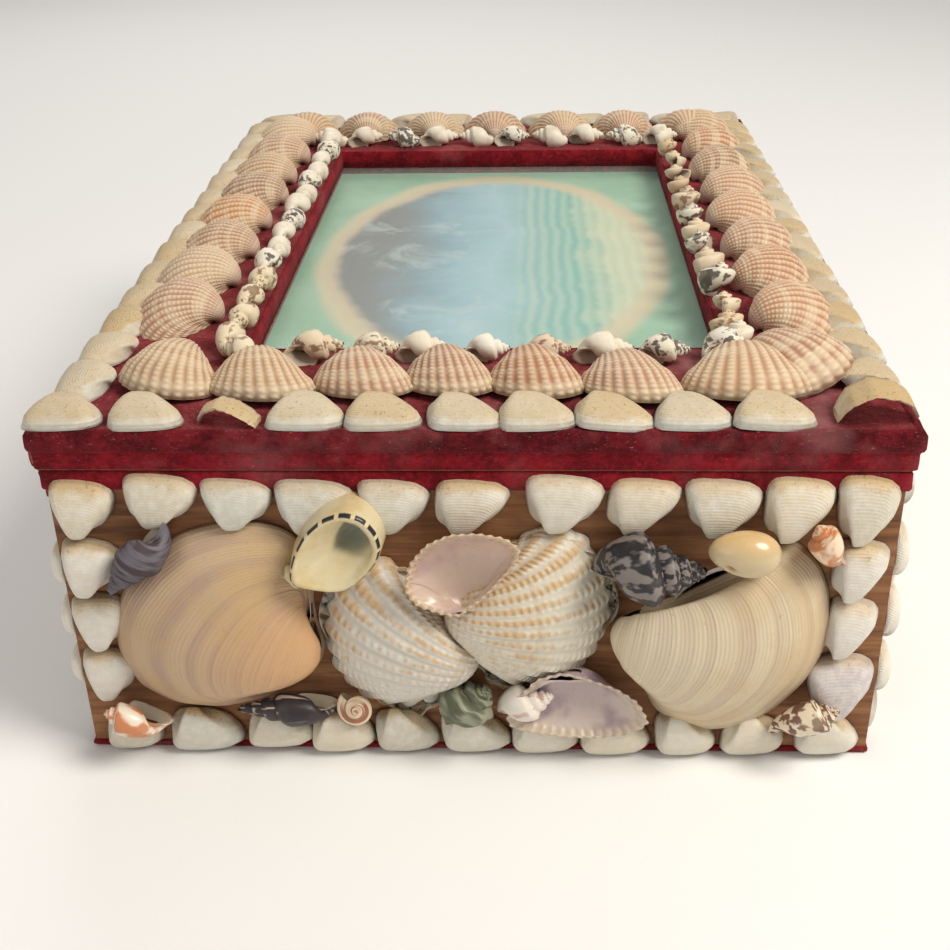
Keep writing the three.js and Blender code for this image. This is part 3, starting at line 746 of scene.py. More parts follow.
cockle_coat = cockle_finish()
BROWNS = {
    "rust": (0.5, 0.22, 0.11), "rose": (0.55, 0.3, 0.2), "tan": (0.6, 0.37, 0.2), "pale": (0.72, 0.52, 0.34),
    "orange": (0.62, 0.27, 0.1), "umber": (0.3, 0.15, 0.09), "grey": (0.45, 0.34, 0.26),
}


def cockle(chance, long, high, deep, tint, lean, luck):
    count = int(chance.integers(21, 27))
    ledges = [(chance.uniform(0.6, 0.9), 0.35), (chance.uniform(0.3, 0.55), 0.3)]
    part = valve(long, high / 1.14, deep, lambda u: round_outline(u, lean, 0.15), curl=0.66, ribs=count,
                 relief=0.5, rows=20, lip=0.8, rings=30, wind=2.9, ledges=ledges, full=0.8)
    shade = chance.uniform(0.85, 1.12)
    tint = tuple(min(c * shade, 1) for c in BROWNS[tint])
    return part.coloured(tint, luck)


def even_row(start, pitch, edge, step, form, stains):
    """Shells at an even pitch, with every other one set in by a step."""
    return [(start + pitch * i, edge + step * (i % 2), *form, *stain) for i, stain in enumerate(stains)]


# Each: along the side, in from the edge to the margin, length, height, depth, turn,
# roll, lean, colour and how strongly it is stained.
cockle_rows = {
    "near": [
        (-66.0, 12.8, 22.0, 20, 8.6, -16, 5, 0.1, "tan", 0.35),
        (-43.4, 10.0, 22.6, 19, 8.0, 2, 0, 0.3, "tan", 0.55),
        (-22.6, 11.2, 21.4, 18, 7.6, 4, -2, 0.34, "rose", 0.8),
        (-4.2, 12.2, 18.8, 18, 7.6, 3, 0, 0.28, "rose", 1.0),
        (13.6, 11.0, 19.8, 18, 8.0, 4, 0, 0.26, "rust", 1.0),
        (33.0, 9.4, 20.8, 18, 7.6, 5, 2, 0.36, "rose", 0.7),
        (56.4, 10.2, 27.4, 20, 8.6, 0, 0, 0.02, "tan", 0.75),
        (72.6, 17.0, 25, 22, 9.0, 32, -16, 0.1, "rose", 1.0),
    ],
    "front": even_row(-68, 24.2, 6.4, 0.8, (27, 20, 8.2, 6, -14, 0.08), [
        ("rust", 0.6), ("rust", 0.9), ("rose", 0.9), ("rust", 0.4), ("rose", 0.7), ("umber", 0.8), ("rust", 1.0),
        ("tan", 0.5)]),
    "far": even_row(-66, 22.0, 13, 0, (22, 19, 8.6, 0, 3, 0.1), [
        ("tan", 0.4), ("rose", 0.8), ("tan", 0.3), ("rose", 0.9), ("pale", 0.5), ("rose", 0.7), ("tan", 0.6)]),
    "hinge": even_row(-94, 22.8, 6.8, 0.8, (26, 20.5, 8.4, -6, 14, 0.08), [
        ("pale", 0.3), ("rose", 0.6), ("tan", 0.7), ("umber", 0.7), ("orange", 0.9), ("rose", 0.8),
        ("pale", 0.4), ("rose", 0.7)]),
}
for seed, (side, row) in enumerate(cockle_rows.items()):
    chance = np.random.default_rng(40 + seed)
    parts = []
    for x, edge, long, high, deep, turn, roll, lean, tint, luck in row:
        part = cockle(chance, long, high, deep, tint, lean, luck)
        settled(beak_in(part), x, edge, turn + chance.uniform(-3, 3), 1.8, -6, roll)
        part.moved(*lid_face(*lid_sides[side]))
        parts.append(part)
    cast(f"cockles_{side}", "lid", [cockle_coat], parts, f"lid_cockles_{side}")


# Lid whelks and winkles: a ring of small coiled shells at the window's edge. Those on
# the near and hinge sides lie down, and those on the front side stand on their mouths.
def coil(long, wide, whorls=4.5, growth=1.65, base=0.42, sides=14, turns=15, ribs=0, relief=0.0, cords=0,
         cord_relief=0.0):
    """A coiled shell along +x, tip first, with its middle on the x axis."""
    rows = int(whorls * turns)
    t = np.linspace(0, 1, rows)[:, None]
    theta = 2 * math.pi * whorls * t
    size = growth ** (-whorls * (1 - t))
    u = np.linspace(0, 1, sides + 1)[None, :]
    psi = math.pi + 2 * math.pi * u
    tube, hub = 0.62 * wide / 2, 0.38 * wide / 2
    centre = long * (1 - base)
    fore = centre * (1 - 1 / growth) * 0.62
    aft = long * base
    lift = relief * (0.5 + 0.5 * np.cos(theta * ribs)) + cord_relief * (0.5 + 0.5 * np.cos(psi * cords))
    tube_now = tube * (1 + lift)
    along = centre * size - size * np.where(np.sin(psi) > 0, fore, aft) * np.sin(psi)
    out = size * (hub + tube_now * np.cos(psi))
    points = np.stack([along + 0 * theta, out * np.cos(theta), out * np.sin(theta)], -1)
    inner = points[-1] * 0.86 + points[-1].mean(0) * 0.14
    throat = points[-4] * 0.7 + points[-4].mean(0) * 0.3
    points = np.concatenate([points, [inner], [throat]])
    theta = np.r_[theta, theta[-1:], theta[-1:]]
    size = np.r_[size, [[1.05]], [[1.1]]]
    part = Part(points, u * 3, theta / (2 * math.pi), size)
    return part.moved(spin("X", -90 - 360 * whorls))


def lying(part, wide, turn_about, sunk):
    """Lays a coiled shell on its side on the face, mouth down, rolled by an angle."""
    return part.moved(spin("X", turn_about), (0, 0, wide / 2 * sunk))


def standing(part, long, turn_about=0.0, sunk=0.1):
    """Stands a coiled shell on its mouth, tip up."""
    part.moved(spin("X", turn_about))
    return part.moved(spin("Y", 90), (0, 0, long * (1 - sunk)))


def snail_finish(name, mark, stretch, low, high, amount, rough=0.38, dusty=(0.66, 0.56, 0.4), dusting=0.45,
                 throat=(0.5, 0.42, 0.32), **fixed):
    """Marks of one colour over each shell's own ground colour, along its coil."""
    coiled = ShellFinish(name, Roughness=rough, **fixed)
    spread_out = coiled.joined(coiled.rib * stretch[0], coiled.ring * stretch[1], coiled.luck * 30)
    spots = coiled.noise(1.0, 2.0, 0.5, spread_out)
    dust = coiled.noise(500.0, 4.0, 0.6)
    blot = coiled.noise(160.0, 3.0)
    tone = coiled.mix(dust * dusting, coiled.tint, dusty)
    tone = coiled.mix(coiled.between(spots, low, high) * amount, tone, mark)
    tone = coiled.mix(coiled.between(blot, 0.5, 0.75) * dusting * 0.7, tone, dusty)
    # Darker brown along the suture, where each whorl meets the last: painted shade.
    suture_shade = coiled.wave(coiled.rib / 3)
    tone = coiled.mix(coiled.between(suture_shade, 0.8, 1.0) * 0.5, tone, (0.2, 0.13, 0.08))
    tone = coiled.mix(coiled.between(coiled.size, 1.02, 1.05), tone, throat)
    return coiled.wear(tone, rough + dust * 0.25, coiled.bump(dust + spots * 0.3, 0.0002, 0.6))


freckled = snail_finish("freckled_snail", (0.2, 0.1, 0.045), (2.6, 11), 0.52, 0.62, 0.85)
checked = snail_finish("checked_snail", (0.06, 0.045, 0.04), (3.4, 9), 0.5, 0.58, 0.9)
plain_snail = snail_finish("plain_snail", (0.5, 0.32, 0.16), (1.5, 4), 0.5, 0.75, 0.45)
snail_coats = [freckled, checked, plain_snail]

# Each: middle along the side, length, width, coat, ground colour, turn.
near_whelks = [(-50.5, 11, 8.6, 0, (0.78, 0.68, 0.5), 168), (-34.9, 14.4, 9.0, 0, (0.76, 0.62, 0.44), 10),
               (-22.0, 12.6, 8.2, 0, (0.8, 0.72, 0.56), 6), (-11.2, 12.6, 8.4, 2, (0.82, 0.75, 0.62), 8),
               (2.5, 11.2, 7.6, 2, (0.86, 0.82, 0.74), 4), (15.5, 11.6, 7.6, 0, (0.72, 0.55, 0.42), 8),
               (27.8, 14.0, 8.6, 2, (0.82, 0.76, 0.64), 4), (40.4, 13.0, 8.0, 1, (0.82, 0.76, 0.64), 2),
               (53.6, 12.5, 9.6, 1, (0.78, 0.76, 0.66), 30)]
chance = np.random.default_rng(60)
parts = []
for x, long, wide, coat, tint, turn in near_whelks:
    part = coil(long, wide, ribs=11, relief=0.16, cords=3, cord_relief=0.05)
    lying(part, wide, chance.uniform(-25, 25), 0.7).moved(np.eye(3), (-long / 2, 0, 0))
    settled(part, x, 34.0 + chance.uniform(-0.8, 0.8), turn + 180, 0.5)
    parts.append(part.moved(*lid_face(0, 126)).coloured(tint, chance.uniform(0, 1), coat))
cast("whelks_near", "lid", snail_coats, parts, "lid_whelks_near")

GROUNDS = [(0.78, 0.66, 0.46), (0.74, 0.56, 0.34), (0.8, 0.76, 0.64), (0.7, 0.58, 0.42), (0.62, 0.46, 0.28)]
# Each: middle along the side, width, coat, ground colour.
front_snails = [(-88, 11, 2, 2), (-76.5, 9.5, 0, 1), (-66.5, 9.6, 0, 0), (-53, 12.4, 1, 2),
                (-38.5, 11.4, 2, 3),
                (-24, 10.6, 1, 2), (-10, 9.6, 2, 0), (3, 9.4, 1, 2), (17, 10, 0, 3), (31, 9.6, 2, 4),
                (45, 9.4, 2, 3), (59, 9.4, 2, 0), (74, 9.4, 0, 1), (88, 9, 2, 2)]
parts = []
for x, wide, coat, ground in front_snails:
    high = wide * chance.uniform(0.66, 0.8)
    part = coil(high, wide, 3.4, 2.2, 0.55, turns=18, ribs=0, cords=4, cord_relief=0.03)
    standing(part, high, chance.uniform(0, 360))
    settled(part, x, 31.2, 0, 0.2, chance.uniform(-12, 12), chance.uniform(10, 28))
    parts.append(part.moved(*lid_face(1, 88)).coloured(GROUNDS[ground], chance.uniform(0, 1), coat))
cast("snails_front", "lid", snail_coats, parts, "lid_whelks_front")

for side, quarter, edge, start, stop, count in (("far", 2, 126, -56, 56, 10), ("hinge", 3, 88, -86, 84, 15)):
    parts = []
    for i, x in enumerate(np.linspace(start, stop, count)):
        wide = 8.4 if side == "far" else chance.uniform(7.4, 8.8)
        long = chance.uniform(12.5, 15)
        part = coil(long, wide, ribs=12, relief=0.12)
        lying(part, wide, chance.uniform(-25, 25), 0.7).moved(np.eye(3), (-long / 2, 0, 0))
        settled(part, x, 34.2 if side == "far" else 33.6, 180 * (i % 2) + chance.uniform(-14, 14), 0.4)
        near_end = side == "hinge" and i > 10
        tint = GROUNDS[0] if near_end else (0.84, 0.79, 0.68)
        coat = 0 if near_end else (1 if i % 3 == 1 else 2)
        parts.append(part.moved(*lid_face(quarter, edge)).coloured(tint, chance.uniform(0, 1), coat))
    cast(f"whelks_{side}", "lid", snail_coats, parts, f"lid_whelks_{side}")


# Rows on the walls: wedge shells along the top and the foot, beak down and beak up,
# and three more one above another at each end. They are glued on the bare wood. Each
# is given by its left, right, low and high edge.
NEAR = (0, 124)
top_row = [(-85.4, -72.2, 56, 69.2), (-70.2, -54.9, 58.4, 70.6), (-54.6, -39.9, 58.2, 69.6),
           (-39.6, -23.4, 57.2, 69.4), (-22.8, -8.2, 57.4, 69.4), (-7.4, 7.9, 57.2, 69.4),
           (10.8, 26.9, 57.6, 70.6),
           (27.1, 42.2, 57.4, 69.8), (42.4, 58.2, 56.8, 69.8), (58.3, 72.6, 55.6, 70.2),
           (72.6, 85.2, 54.8, 70.6)]
foot_row = [(-82.4, -69.8, 0.8, 12.5), (-68.2, -51.4, 0.4, 13), (-50.9, -35.4, 1.6, 12.6),
            (-36.7, -22, 0.6, 12.6),
            (-22.3, -7.7, 0.6, 13), (-7.8, 8.2, 0.6, 12.8), (7.8, 23.1, 0.6, 12.4), (22.8, 38.7, 0.4, 12.6),
            (39.1, 53, 0.4, 12.8), (53.7, 67.9, 0.6, 12.6), (69.6, 84, 0.8, 13)]
chance = np.random.default_rng(70)
parts = [fitted(wedge(chance, deep=4.0), *spot, off=0.4).moved(*wall_face(*NEAR)) for spot in top_row]
cast("near_wedges_top", "box", [wedge_coat], parts, "near_top_row")
parts = []
for spot in foot_row:
    part = wedge(chance, deep=4.4)
    part.points[..., 1] *= -1
    left, right, low_edge, high_edge = spot
    parts.append(fitted(part, left, right, low_edge - 0.3, high_edge, off=0.7).moved(*wall_face(*NEAR)))
cast("near_wedges_foot", "box", [wedge_coat], parts, "near_foot_row")

left_column = [(-85.2, -73, 42, 55.4), (-85.4, -73.2, 28, 41.6), (-85, -73, 14.8, 27.8)]
right_column = [(73.3, 84.8, 41.7, 55.6), (73, 84.2, 27.3, 42), (70.5, 85.2, 10.8, 27.3)]
for name, column, node in (("near_fans_left", left_column, "near_left_column"),
                           ("near_fans_right", right_column, "near_right_column")):
    parts = []
    for spot in column:
        part = wedge(chance, deep=4.6).moved(spin("Z", chance.uniform(-8, 8)))
        tint = (0.66, 0.61, 0.54) if spot[2] > 12 else (0.56, 0.5, 0.5)
        fitted(part, *spot, off=0.4).moved(*wall_face(*NEAR))
        parts.append(part.coloured(tint, chance.uniform(0.2, 0.8)))
    cast(name, "box", [wedge_coat], parts, node)


# The four large valves of the near wall: two smooth clams outside two white cockles.
# They overlap a little and lie flat in glue.
def cut_outline(corners, heading):
    """An outline through points about the beak, for a valve that grows along heading."""
    closed = np.array([*corners, corners[0]], float) @ spin("Z", 90 - heading)[:2, :2].T
    dense, x, y = closed_curve(closed, 500, 31)
    return lambda u: (np.interp(u, dense, x), np.interp(u, dense, y))


def beaked_valve(beak, corners, heading, deep, **form):
    """A valve through points of the wall about its beak."""
    outline = cut_outline([(x - beak[0], y - beak[1]) for x, y in corners], heading)
    x, y = outline(np.linspace(0, 1, 200))
    return valve(x.max() - x.min(), 1.0, deep, outline, **form)


def wall_valve(beak, corners, heading, deep, **form):
    part = beaked_valve(beak, corners, heading, deep, **form)
    return part.moved(spin("Z", heading - 90), (*beak, 0.3)).moved(*wall_face(*NEAR))


def clam_finish(name, ray, ray_amount, umbo, stain):
    smooth = ShellFinish(name, Roughness=0.33)
    fine = smooth.noise(700.0, 4.0, 0.6)
    cloudy = smooth.noise(60.0, 4.0, 0.55)
    rings = smooth.between(smooth.banding, 0.42, 0.62)
    up = smooth.part_of(smooth.facing, "Z")
    tone = smooth.mix(rings * 0.5, smooth.tint, ray)
    tone = smooth.mix(smooth.between(cloudy, 0.4, 0.62) * stain, tone, (0.52, 0.35, 0.16))
    tone = smooth.mix(smooth.between(smooth.size, 0.75, 0.3) * 0.75, tone, umbo)
    tone = smooth.mix(smooth.between(smooth.size, 0.86, 1.0) * ray_amount, tone, ray)
    tone = smooth.mix(smooth.between(fine, 0.62, 0.75) * 0.35, tone, (0.35, 0.2, 0.1))
    tone = smooth.mix(smooth.between(up, 0.35, 0.9) * 0.3, tone, (0.62, 0.48, 0.32))
    tone = smooth.mix(smooth.between(smooth.size, 1.01, 1.04), tone, (0.85, 0.8, 0.74))
    lines = smooth.wave(smooth.ring * 1.5)
    relief = lines * 0.4 + rings * 0.8 + fine * 0.3
    return smooth.wear(tone, 0.3 + fine * 0.22, smooth.bump(relief, 0.00025, 0.6))


left_clam = wall_valve(
    (-37.6, 30.2),
    [(-31.7, 28.4), (-33.0, 24.2), (-37.2, 19.0), (-47.0, 14.1), (-56.4, 11.8), (-66.8, 13.5), (-73.8, 18.6),
     (-77.0, 27.5), (-76.7, 35.4), (-73.8, 42.3), (-67.6, 50.2), (-60.6, 56.0), (-53.8, 58.4), (-46.9, 59.2),
     (-40.5, 58.5), (-36.1, 56.1), (-34.6, 51.5), (-33.6, 42.6), (-33.2, 35.7)][::-1],
    158, 11.4, curl=0.66, columns=96, rows=44, lip=0.9, rings=44, full=0.72, wind=2.6,
    ledges=((0.86, 0.18), (0.7, 0.2), (0.5, 0.16)))
left_clam.coloured((0.52, 0.37, 0.23), 0.31)
cast("clam_left_shell", "box",
     [clam_finish("buff_clam", (0.36, 0.23, 0.2), 0.3, (0.62, 0.35, 0.17), 0.6)], [left_clam], "clam_left")

right_clam = wall_valve(
    (34.4, 33.4),
    [(28.7, 32.9), (29.4, 35.6), (34.3, 38.4), (41.9, 41.2), (50.0, 45.9), (56.6, 50.1), (61.4, 53.8),
     (65.0, 55.5), (70.3, 50.6), (73.1, 44.4), (74.6, 36.8), (74.1, 28.9), (71.3, 21.3), (65.5, 13.4),
     (59.0, 8.4), (52.0, 6.8), (45.3, 7.9), (39.5, 11.7), (35.4, 20.5), (31.2, 26.3)],
    -8, 11.6, curl=0.66, columns=96, rows=44, lip=0.9, rings=52, full=0.72, wind=2.6,
    ledges=((0.93, 0.12), (0.62, 0.1), (0.28, 0.3)))
right_clam.coloured((0.62, 0.52, 0.36), 0.72)
cast("clam_right_shell", "box",
     [clam_finish("cream_clam", (0.46, 0.33, 0.24), 0.12, (0.68, 0.58, 0.42), 0.4)],
     [right_clam], "clam_right")


def white_cockle_finish():
    white = ShellFinish("white_cockle", Roughness=0.36)
    crest = white.wave(white.rib)
    bead = white.wave(white.ring)
    fine = white.noise(600.0, 4.0, 0.6)
    cloudy = white.noise(70.0, 4.0, 0.6)
    up = white.part_of(white.facing, "Z")
    tan = white.between(crest * 0.3 + fine * 0.6 + cloudy * 0.8 + up * 0.3, 0.85, 1.2)
    tone = white.mix(tan * 0.85, white.tint, (0.55, 0.36, 0.17))
    # Greyer between the ribs: painted shade in the grooves.
    tone = white.mix((1 - crest) ** 3 * 0.35, tone, (0.5, 0.44, 0.36))
    tone = white.mix(white.between(white.banding, 0.62, 0.7) * 0.3, tone, (0.5, 0.4, 0.28))
    relief = bead * crest * 0.7 + fine * 0.4
    return white.wear(tone, 0.3 + fine * 0.25, white.bump(relief, 0.0005, 0.8))


white_coat = white_cockle_finish()
left_cockle = wall_valve(
    (-3.4, 26.4),
    [(-1.1, 24.8), (-1.4, 27.2), (-3.9, 33.7), (-7.5, 41.7), (-14.8, 48.4), (-19.3, 51.7), (-23.8, 49.4),
     (-28.9, 43.7), (-31.3, 35.2), (-31.9, 30.5), (-30.3, 22.7), (-25.7, 15.9), (-20.9, 13.5), (-14.4, 12.1),
     (-8.4, 13.9), (-4.3, 16.1), (-1.8, 20.5)],
    158, 10.0, curl=0.7, ribs=21, relief=1.15, rows=40, lip=1.0, rings=26, full=0.8, wind=2.5)
left_cockle.coloured((0.72, 0.68, 0.6), 0.2)
cast("cockle_left_shell", "box", [white_coat], [left_cockle], "cockle_left")
right_cockle = wall_valve(
    (-1.8, 38.4),
    [(-4.1, 36.6), (-3.5, 38.6), (0.6, 44.4), (7.7, 52.2), (10.5, 56.4), (12.4, 58), (17.9, 58), (22.9, 56.6),
     (25.7, 50.9), (28.3, 42.5), (29.0, 37.4), (26.9, 29.8), (23.7, 23.8), (16.4, 20.1), (9.5, 17.8),
     (2.7, 22.4), (-2.1, 27.8), (-3.8, 33.1)],
    -8, 10.6, curl=0.7, ribs=23, relief=1.0, rows=40, lip=1.0, rings=30, full=0.8, wind=2.5)
right_cockle.coloured((0.7, 0.65, 0.54), 0.6)
cast("cockle_right_shell", "box", [white_coat], [right_cockle], "cockle_right")


# Two valves that lie on their backs, so that their hollows show: a pink one with a
# notched rim over the cockles, and a lavender one at the foot.
def hollow_finish(name, rim, deep_tone, bruise, teeth):
    pearl = ShellFinish(name, Roughness=0.25, Coat_Weight=0.3, Coat_Roughness=0.2)
    cloudy = pearl.noise(110.0, 3.0, 0.5)
    fine = pearl.noise(600.0, 3.0)
    tooth = pearl.wave(pearl.rib)
    edge = pearl.between(pearl.size, 0.9, 0.97)
    tone = pearl.mix(pearl.between(pearl.size, 0.95, 0.5), pearl.tint, deep_tone)
    tone = pearl.mix(pearl.between(cloudy, 0.48, 0.7) * 0.6, tone, bruise)
    tone = pearl.mix(edge * (0.35 + 0.5 * tooth), tone, rim)
    tone = pearl.mix(edge * (1 - tooth) * teeth, tone, (0.45, 0.3, 0.2))
    return pearl.wear(tone, 0.22 + fine * 0.15, pearl.bump(tooth * edge + fine * 0.2, 0.0004, 0.7))


def open_valve(corners, beak, heading, deep, high_rim, teeth, tint):
    """A hollow valve, rim outwards: its inner face, its rim and its back."""
    bowl = beaked_valve(beak, corners, heading, deep, curl=0.8, ribs=teeth, relief=0.0, rows=26, lip=0.0,
                        rings=20, full=0.85, wind=2.4)
    crest = 0.5 + 0.5 * np.cos(2 * math.pi * bowl.grain[..., 0])
    hub = bowl.points[2].mean(0)
    notch = np.clip((bowl.grain[..., 2] - 0.86) / 0.14, 0, 1) * crest * 0.035
    bowl.points = bowl.points + (bowl.points - hub) * notch[..., None]
    bowl.points = bowl.points[2:]
    bowl.grain = bowl.grain[2:]
    back = Part(bowl.points.copy(), 0, 0, 1)
    hub = bowl.points[0].mean(0)
    bowl.points = hub + (bowl.points - hub) * np.array([0.93, 0.93, 0.86])
    lip = Part(np.stack([back.points[0], (back.points[0] + bowl.points[0]) / 2 + np.array([0, 0, -0.3]),
                         bowl.points[0]]), bowl.grain[0, :, 0], 0, 1.0)
    back.grain = bowl.grain.copy()
    for part in (bowl, back, lip):
        part.points[..., 2] *= -1
        part.moved(spin("Z", heading - 90), (*beak, high_rim)).moved(*wall_face(*NEAR))
        part.coloured(tint, 0.5)
    return [bowl, back, lip]


pink_parts = open_valve(
    [(-13.1, 50.6), (-11.8, 55.5), (-8.4, 59.8), (-3.8, 62.1), (1.6, 62.4), (6.9, 61.4), (9.9, 58.8),
     (8.7, 55.0),
     (3.2, 48.0), (-2.5, 42.9), (-6.2, 43.7), (-10.8, 45.6), (-12.7, 48.4)],
    (-1.6, 44.2), 100, 6.4, 10.6, 36, (0.62, 0.46, 0.38))
cast("open_cockle_shell", "box",
     [hollow_finish("pink_hollow", (0.7, 0.54, 0.33), (0.6, 0.45, 0.36), (0.45, 0.27, 0.28), 0.5)],
     pink_parts, "open_cockle")
ark_parts = open_valve(
    [(7.2, 14.1), (7.9, 18.5), (10.5, 20.8), (13.4, 24.5), (18.8, 26.3), (23.2, 25.0), (29.8, 22.4),
     (34.6, 18.8),
     (37.2, 13.3), (33.8, 10.4), (26.5, 9.1), (19.1, 9.3), (11.6, 10.6), (7.9, 12.0)],
    (20.5, 24.6), -88, 5.0, 7.0, 34, (0.6, 0.5, 0.44))
cast("open_ark_shell", "box",
     [hollow_finish("lavender_hollow", (0.62, 0.52, 0.38), (0.5, 0.4, 0.4), (0.16, 0.08, 0.15), 0.4)],
     ark_parts, "open_ark")


# The small coiled shells of the near wall, each glued over the edges of its
# neighbours: dark, orange, brown, olive and white.
def on_near_wall(part, x, y, turn, off, tilt=0.0):
    return settled(part, x, y, turn, off, tilt).moved(*wall_face(*NEAR))


def coiled_shell(name, slot, node, coat, ground, luck, spot, long, wide, *form, roll=10, sunk=0.75, **relief):
    """A shell on its side. Its spot is x, y, its turn on the wall and its height off it."""
    part = lying(coil(long, wide, *form, **relief), wide, roll, sunk)
    cast(name, "box", [coat], [on_near_wall(part, *spot).coloured(ground, luck)], node)


night = snail_finish("night_shell", (0.012, 0.012, 0.016), (3, 13), 0.44, 0.52, 0.95, 0.32,
                     (0.3, 0.26, 0.22), 0.3)
coiled_shell("horn_shell_knobbed", "dark_shell", "horn_shell", night, (0.2, 0.17, 0.16), 0.2,
             (48.6, 52.2, 181, 2.2), 24.6, 15.4, 5.2, 1.5, 0.36,
             sides=30, turns=26, ribs=13, relief=0.16, cords=5, cord_relief=0.12)

slate = snail_finish("slate_shell", (0.04, 0.02, 0.02), (9, 2.5), 0.45, 0.6, 0.85, 0.45,
                     (0.2, 0.17, 0.17), 0.25)
coiled_shell("grey_horn_shell", "dark_shell", "grey_horn", slate, (0.13, 0.12, 0.15), 0.6,
             (-76.0, 43.6, 50, 1.6), 22.4, 10.6, 5.5, 1.45, 0.34,
             sides=36, turns=22, ribs=9, relief=0.05, cords=9, cord_relief=0.1)

jet = snail_finish("jet_shell", (0.5, 0.4, 0.32), (0.7, 10), 0.56, 0.62, 0.85, 0.3, (0.16, 0.13, 0.12), 0.15)
coiled_shell("banded_horn_shell", "dark_shell", "banded_snail", jet, (0.018, 0.014, 0.018), 0.4,
             (-53.2, 15.0, 1, 2.2), 24.4, 8.6, 5.5, 1.42, 0.36,
             sides=28, turns=22, ribs=14, relief=0.08, cords=5, cord_relief=0.04)

flame = snail_finish("flame_shell", (0.56, 0.17, 0.04), (2.2, 5), 0.42, 0.56, 0.92, 0.25, Coat_Weight=0.3)
coiled_shell("orange_snail_shell", "orange_shell", "orange_snail", flame, (0.8, 0.62, 0.44), 0.15,
             (67.9, 62.0, -56, 2.6), 12.6, 9.6, 3.6, 1.9, 0.6, sides=22, turns=26, sunk=0.7)
coiled_shell("mottled_snail_shell", "orange_shell", "mottled_snail", flame, (0.84, 0.74, 0.62), 0.5,
             (-80.4, 15.4, -16, 3.8), 15.2, 10.4, 3.6, 1.9, 0.6, sides=24, turns=28, sunk=0.72)

bark = snail_finish("bark_shell", (0.13, 0.045, 0.025), (5, 7), 0.47, 0.54, 0.95, 0.3, Coat_Weight=0.3)
coiled_shell("cone_snail_shell", "brown_shell", "cone_shell", bark, (0.78, 0.66, 0.5), 0.4,
             (77.6, 17.6, 206, 3.8), 16.4, 9.6, 4.0, 1.8, 0.62, sides=26, turns=26)
spire = standing(coil(6.6, 9.4, 4.2, 1.75, 0.5, sides=18, turns=26), 6.6, 40)
toffee = snail_finish("toffee_shell", (0.3, 0.09, 0.03), (3, 1.2), 0.46, 0.6, 0.9, 0.28, Coat_Weight=0.3)
cast("top_snail_shell", "box", [toffee],
     [on_near_wall(spire, -25.4, 14.2, 0, 2.4, -20).coloured((0.78, 0.62, 0.44), 0.4)], "top_shell")

moss = snail_finish("moss_shell", (0.05, 0.06, 0.03), (3, 4), 0.42, 0.58, 0.8, 0.4, (0.3, 0.3, 0.2), 0.4)
coiled_shell("rough_olive_shell", "olive_shell", "rough_shell", moss, (0.3, 0.31, 0.22), 0.5,
             (3.8, 21.0, 226, 1.0), 15.4, 12.4, 3.6, 1.7, 0.5,
             sides=24, turns=26, ribs=7, relief=0.3, cords=3, cord_relief=0.2, sunk=0.6)

blush = snail_finish("blush_shell", (0.55, 0.26, 0.2), (1.2, 6), 0.56, 0.64, 0.7, 0.35)
coiled_shell("white_whelk_shell", "pink_shell", "white_whelk", blush, (0.84, 0.79, 0.74), 0.7,
             (17.6, 19.4, 204, 1.8), 14.0, 9.4, 4.6, 1.6, 0.42,
             sides=20, turns=24, ribs=11, relief=0.18, cords=4, cord_relief=0.05, roll=0, sunk=0.7)


# The cowrie is a smooth egg with a broken slit low on its left side.
honey = ShellFinish("honey_cowrie", Roughness=0.25, Coat_Weight=0.4, Coat_Roughness=0.1)
haze = honey.noise(120.0, 3.0)
tone = honey.mix(honey.between(honey.part_of(honey.facing, "Z") + haze * 0.5, 0.4, 1.2) * 0.8, honey.tint,
                 (0.68, 0.45, 0.2))
# Dark brown in the slit: painted shade in the broken opening.
tone = honey.mix(honey.between(honey.ring, 0.5, 1.0), tone, (0.3, 0.16, 0.07))
honey.wear(tone, 0.2 + haze * 0.15, honey.bump(haze, 0.0002, 0.5))
u, v = np.meshgrid(np.linspace(0, 2 * math.pi, 97), np.linspace(0.02, math.pi - 0.02, 64))
taper = 1 - 0.16 * np.cos(v)
egg = np.stack([
    -7.2 * np.cos(v), 4.7 * taper * np.sin(v) * np.cos(u), 4.4 * taper * np.sin(v) * np.sin(u),
], -1)
slit = np.exp(-(((egg[..., 0] + 2.6) / 1.6) ** 2 + ((egg[..., 1] + 3.2 + 0.5 * egg[..., 0]) / 0.5) ** 2))
slit = slit * (egg[..., 2] > 0)
egg[..., 2] -= 1.0 * slit
cowrie = Part(egg, 0, slit, 0.8, (0.56, 0.44, 0.26), 0.5)
cast("cowrie_shell", "box", [honey.material],
     [on_near_wall(cowrie, 54.0, 56.8, -6, 8.4)], "cowrie")


# The nerite shows its mouth: a thick cream lip with a black dashed rim, a grey-green
# hollow at its upper right, and a pale shelf across the rest.
lip_coat = ShellFinish("nerite_lip", Roughness=0.3, Coat_Weight=0.3)
fine = lip_coat.noise(500.0, 4.0)
cloudy = lip_coat.noise(150.0, 3.0)
dashes = lip_coat.between(lip_coat.wave(lip_coat.rib), 0.12, 0.2)
on_rim = lip_coat.between(lip_coat.ring, 0.62, 0.8) * lip_coat.between(lip_coat.ring, 1.24, 1.1)
tone = lip_coat.mix(lip_coat.between(cloudy, 0.4, 0.7) * 0.8, lip_coat.tint, (0.6, 0.45, 0.2))
tone = lip_coat.mix(on_rim * dashes, tone, (0.015, 0.015, 0.02))
tone = lip_coat.mix(lip_coat.between(lip_coat.ring, 1.9, 2.6), tone, (0.34, 0.36, 0.28))
lip_coat.wear(tone, 0.28 + fine * 0.2, lip_coat.bump(fine + cloudy, 0.0003, 0.7))
rim = np.array([(-36.5, 51.1), (-35.4, 56.0), (-32.7, 61.3), (-28.8, 65.0), (-24.6, 66.5), (-20.7, 65.3),
                (-18.2, 61.9), (-17.5, 58.2), (-18.5, 55.0), (-21.5, 51.2), (-24.9, 48.4), (-28.2, 47.9),
                (-31.9, 48.4), (-35.5, 49.2)])
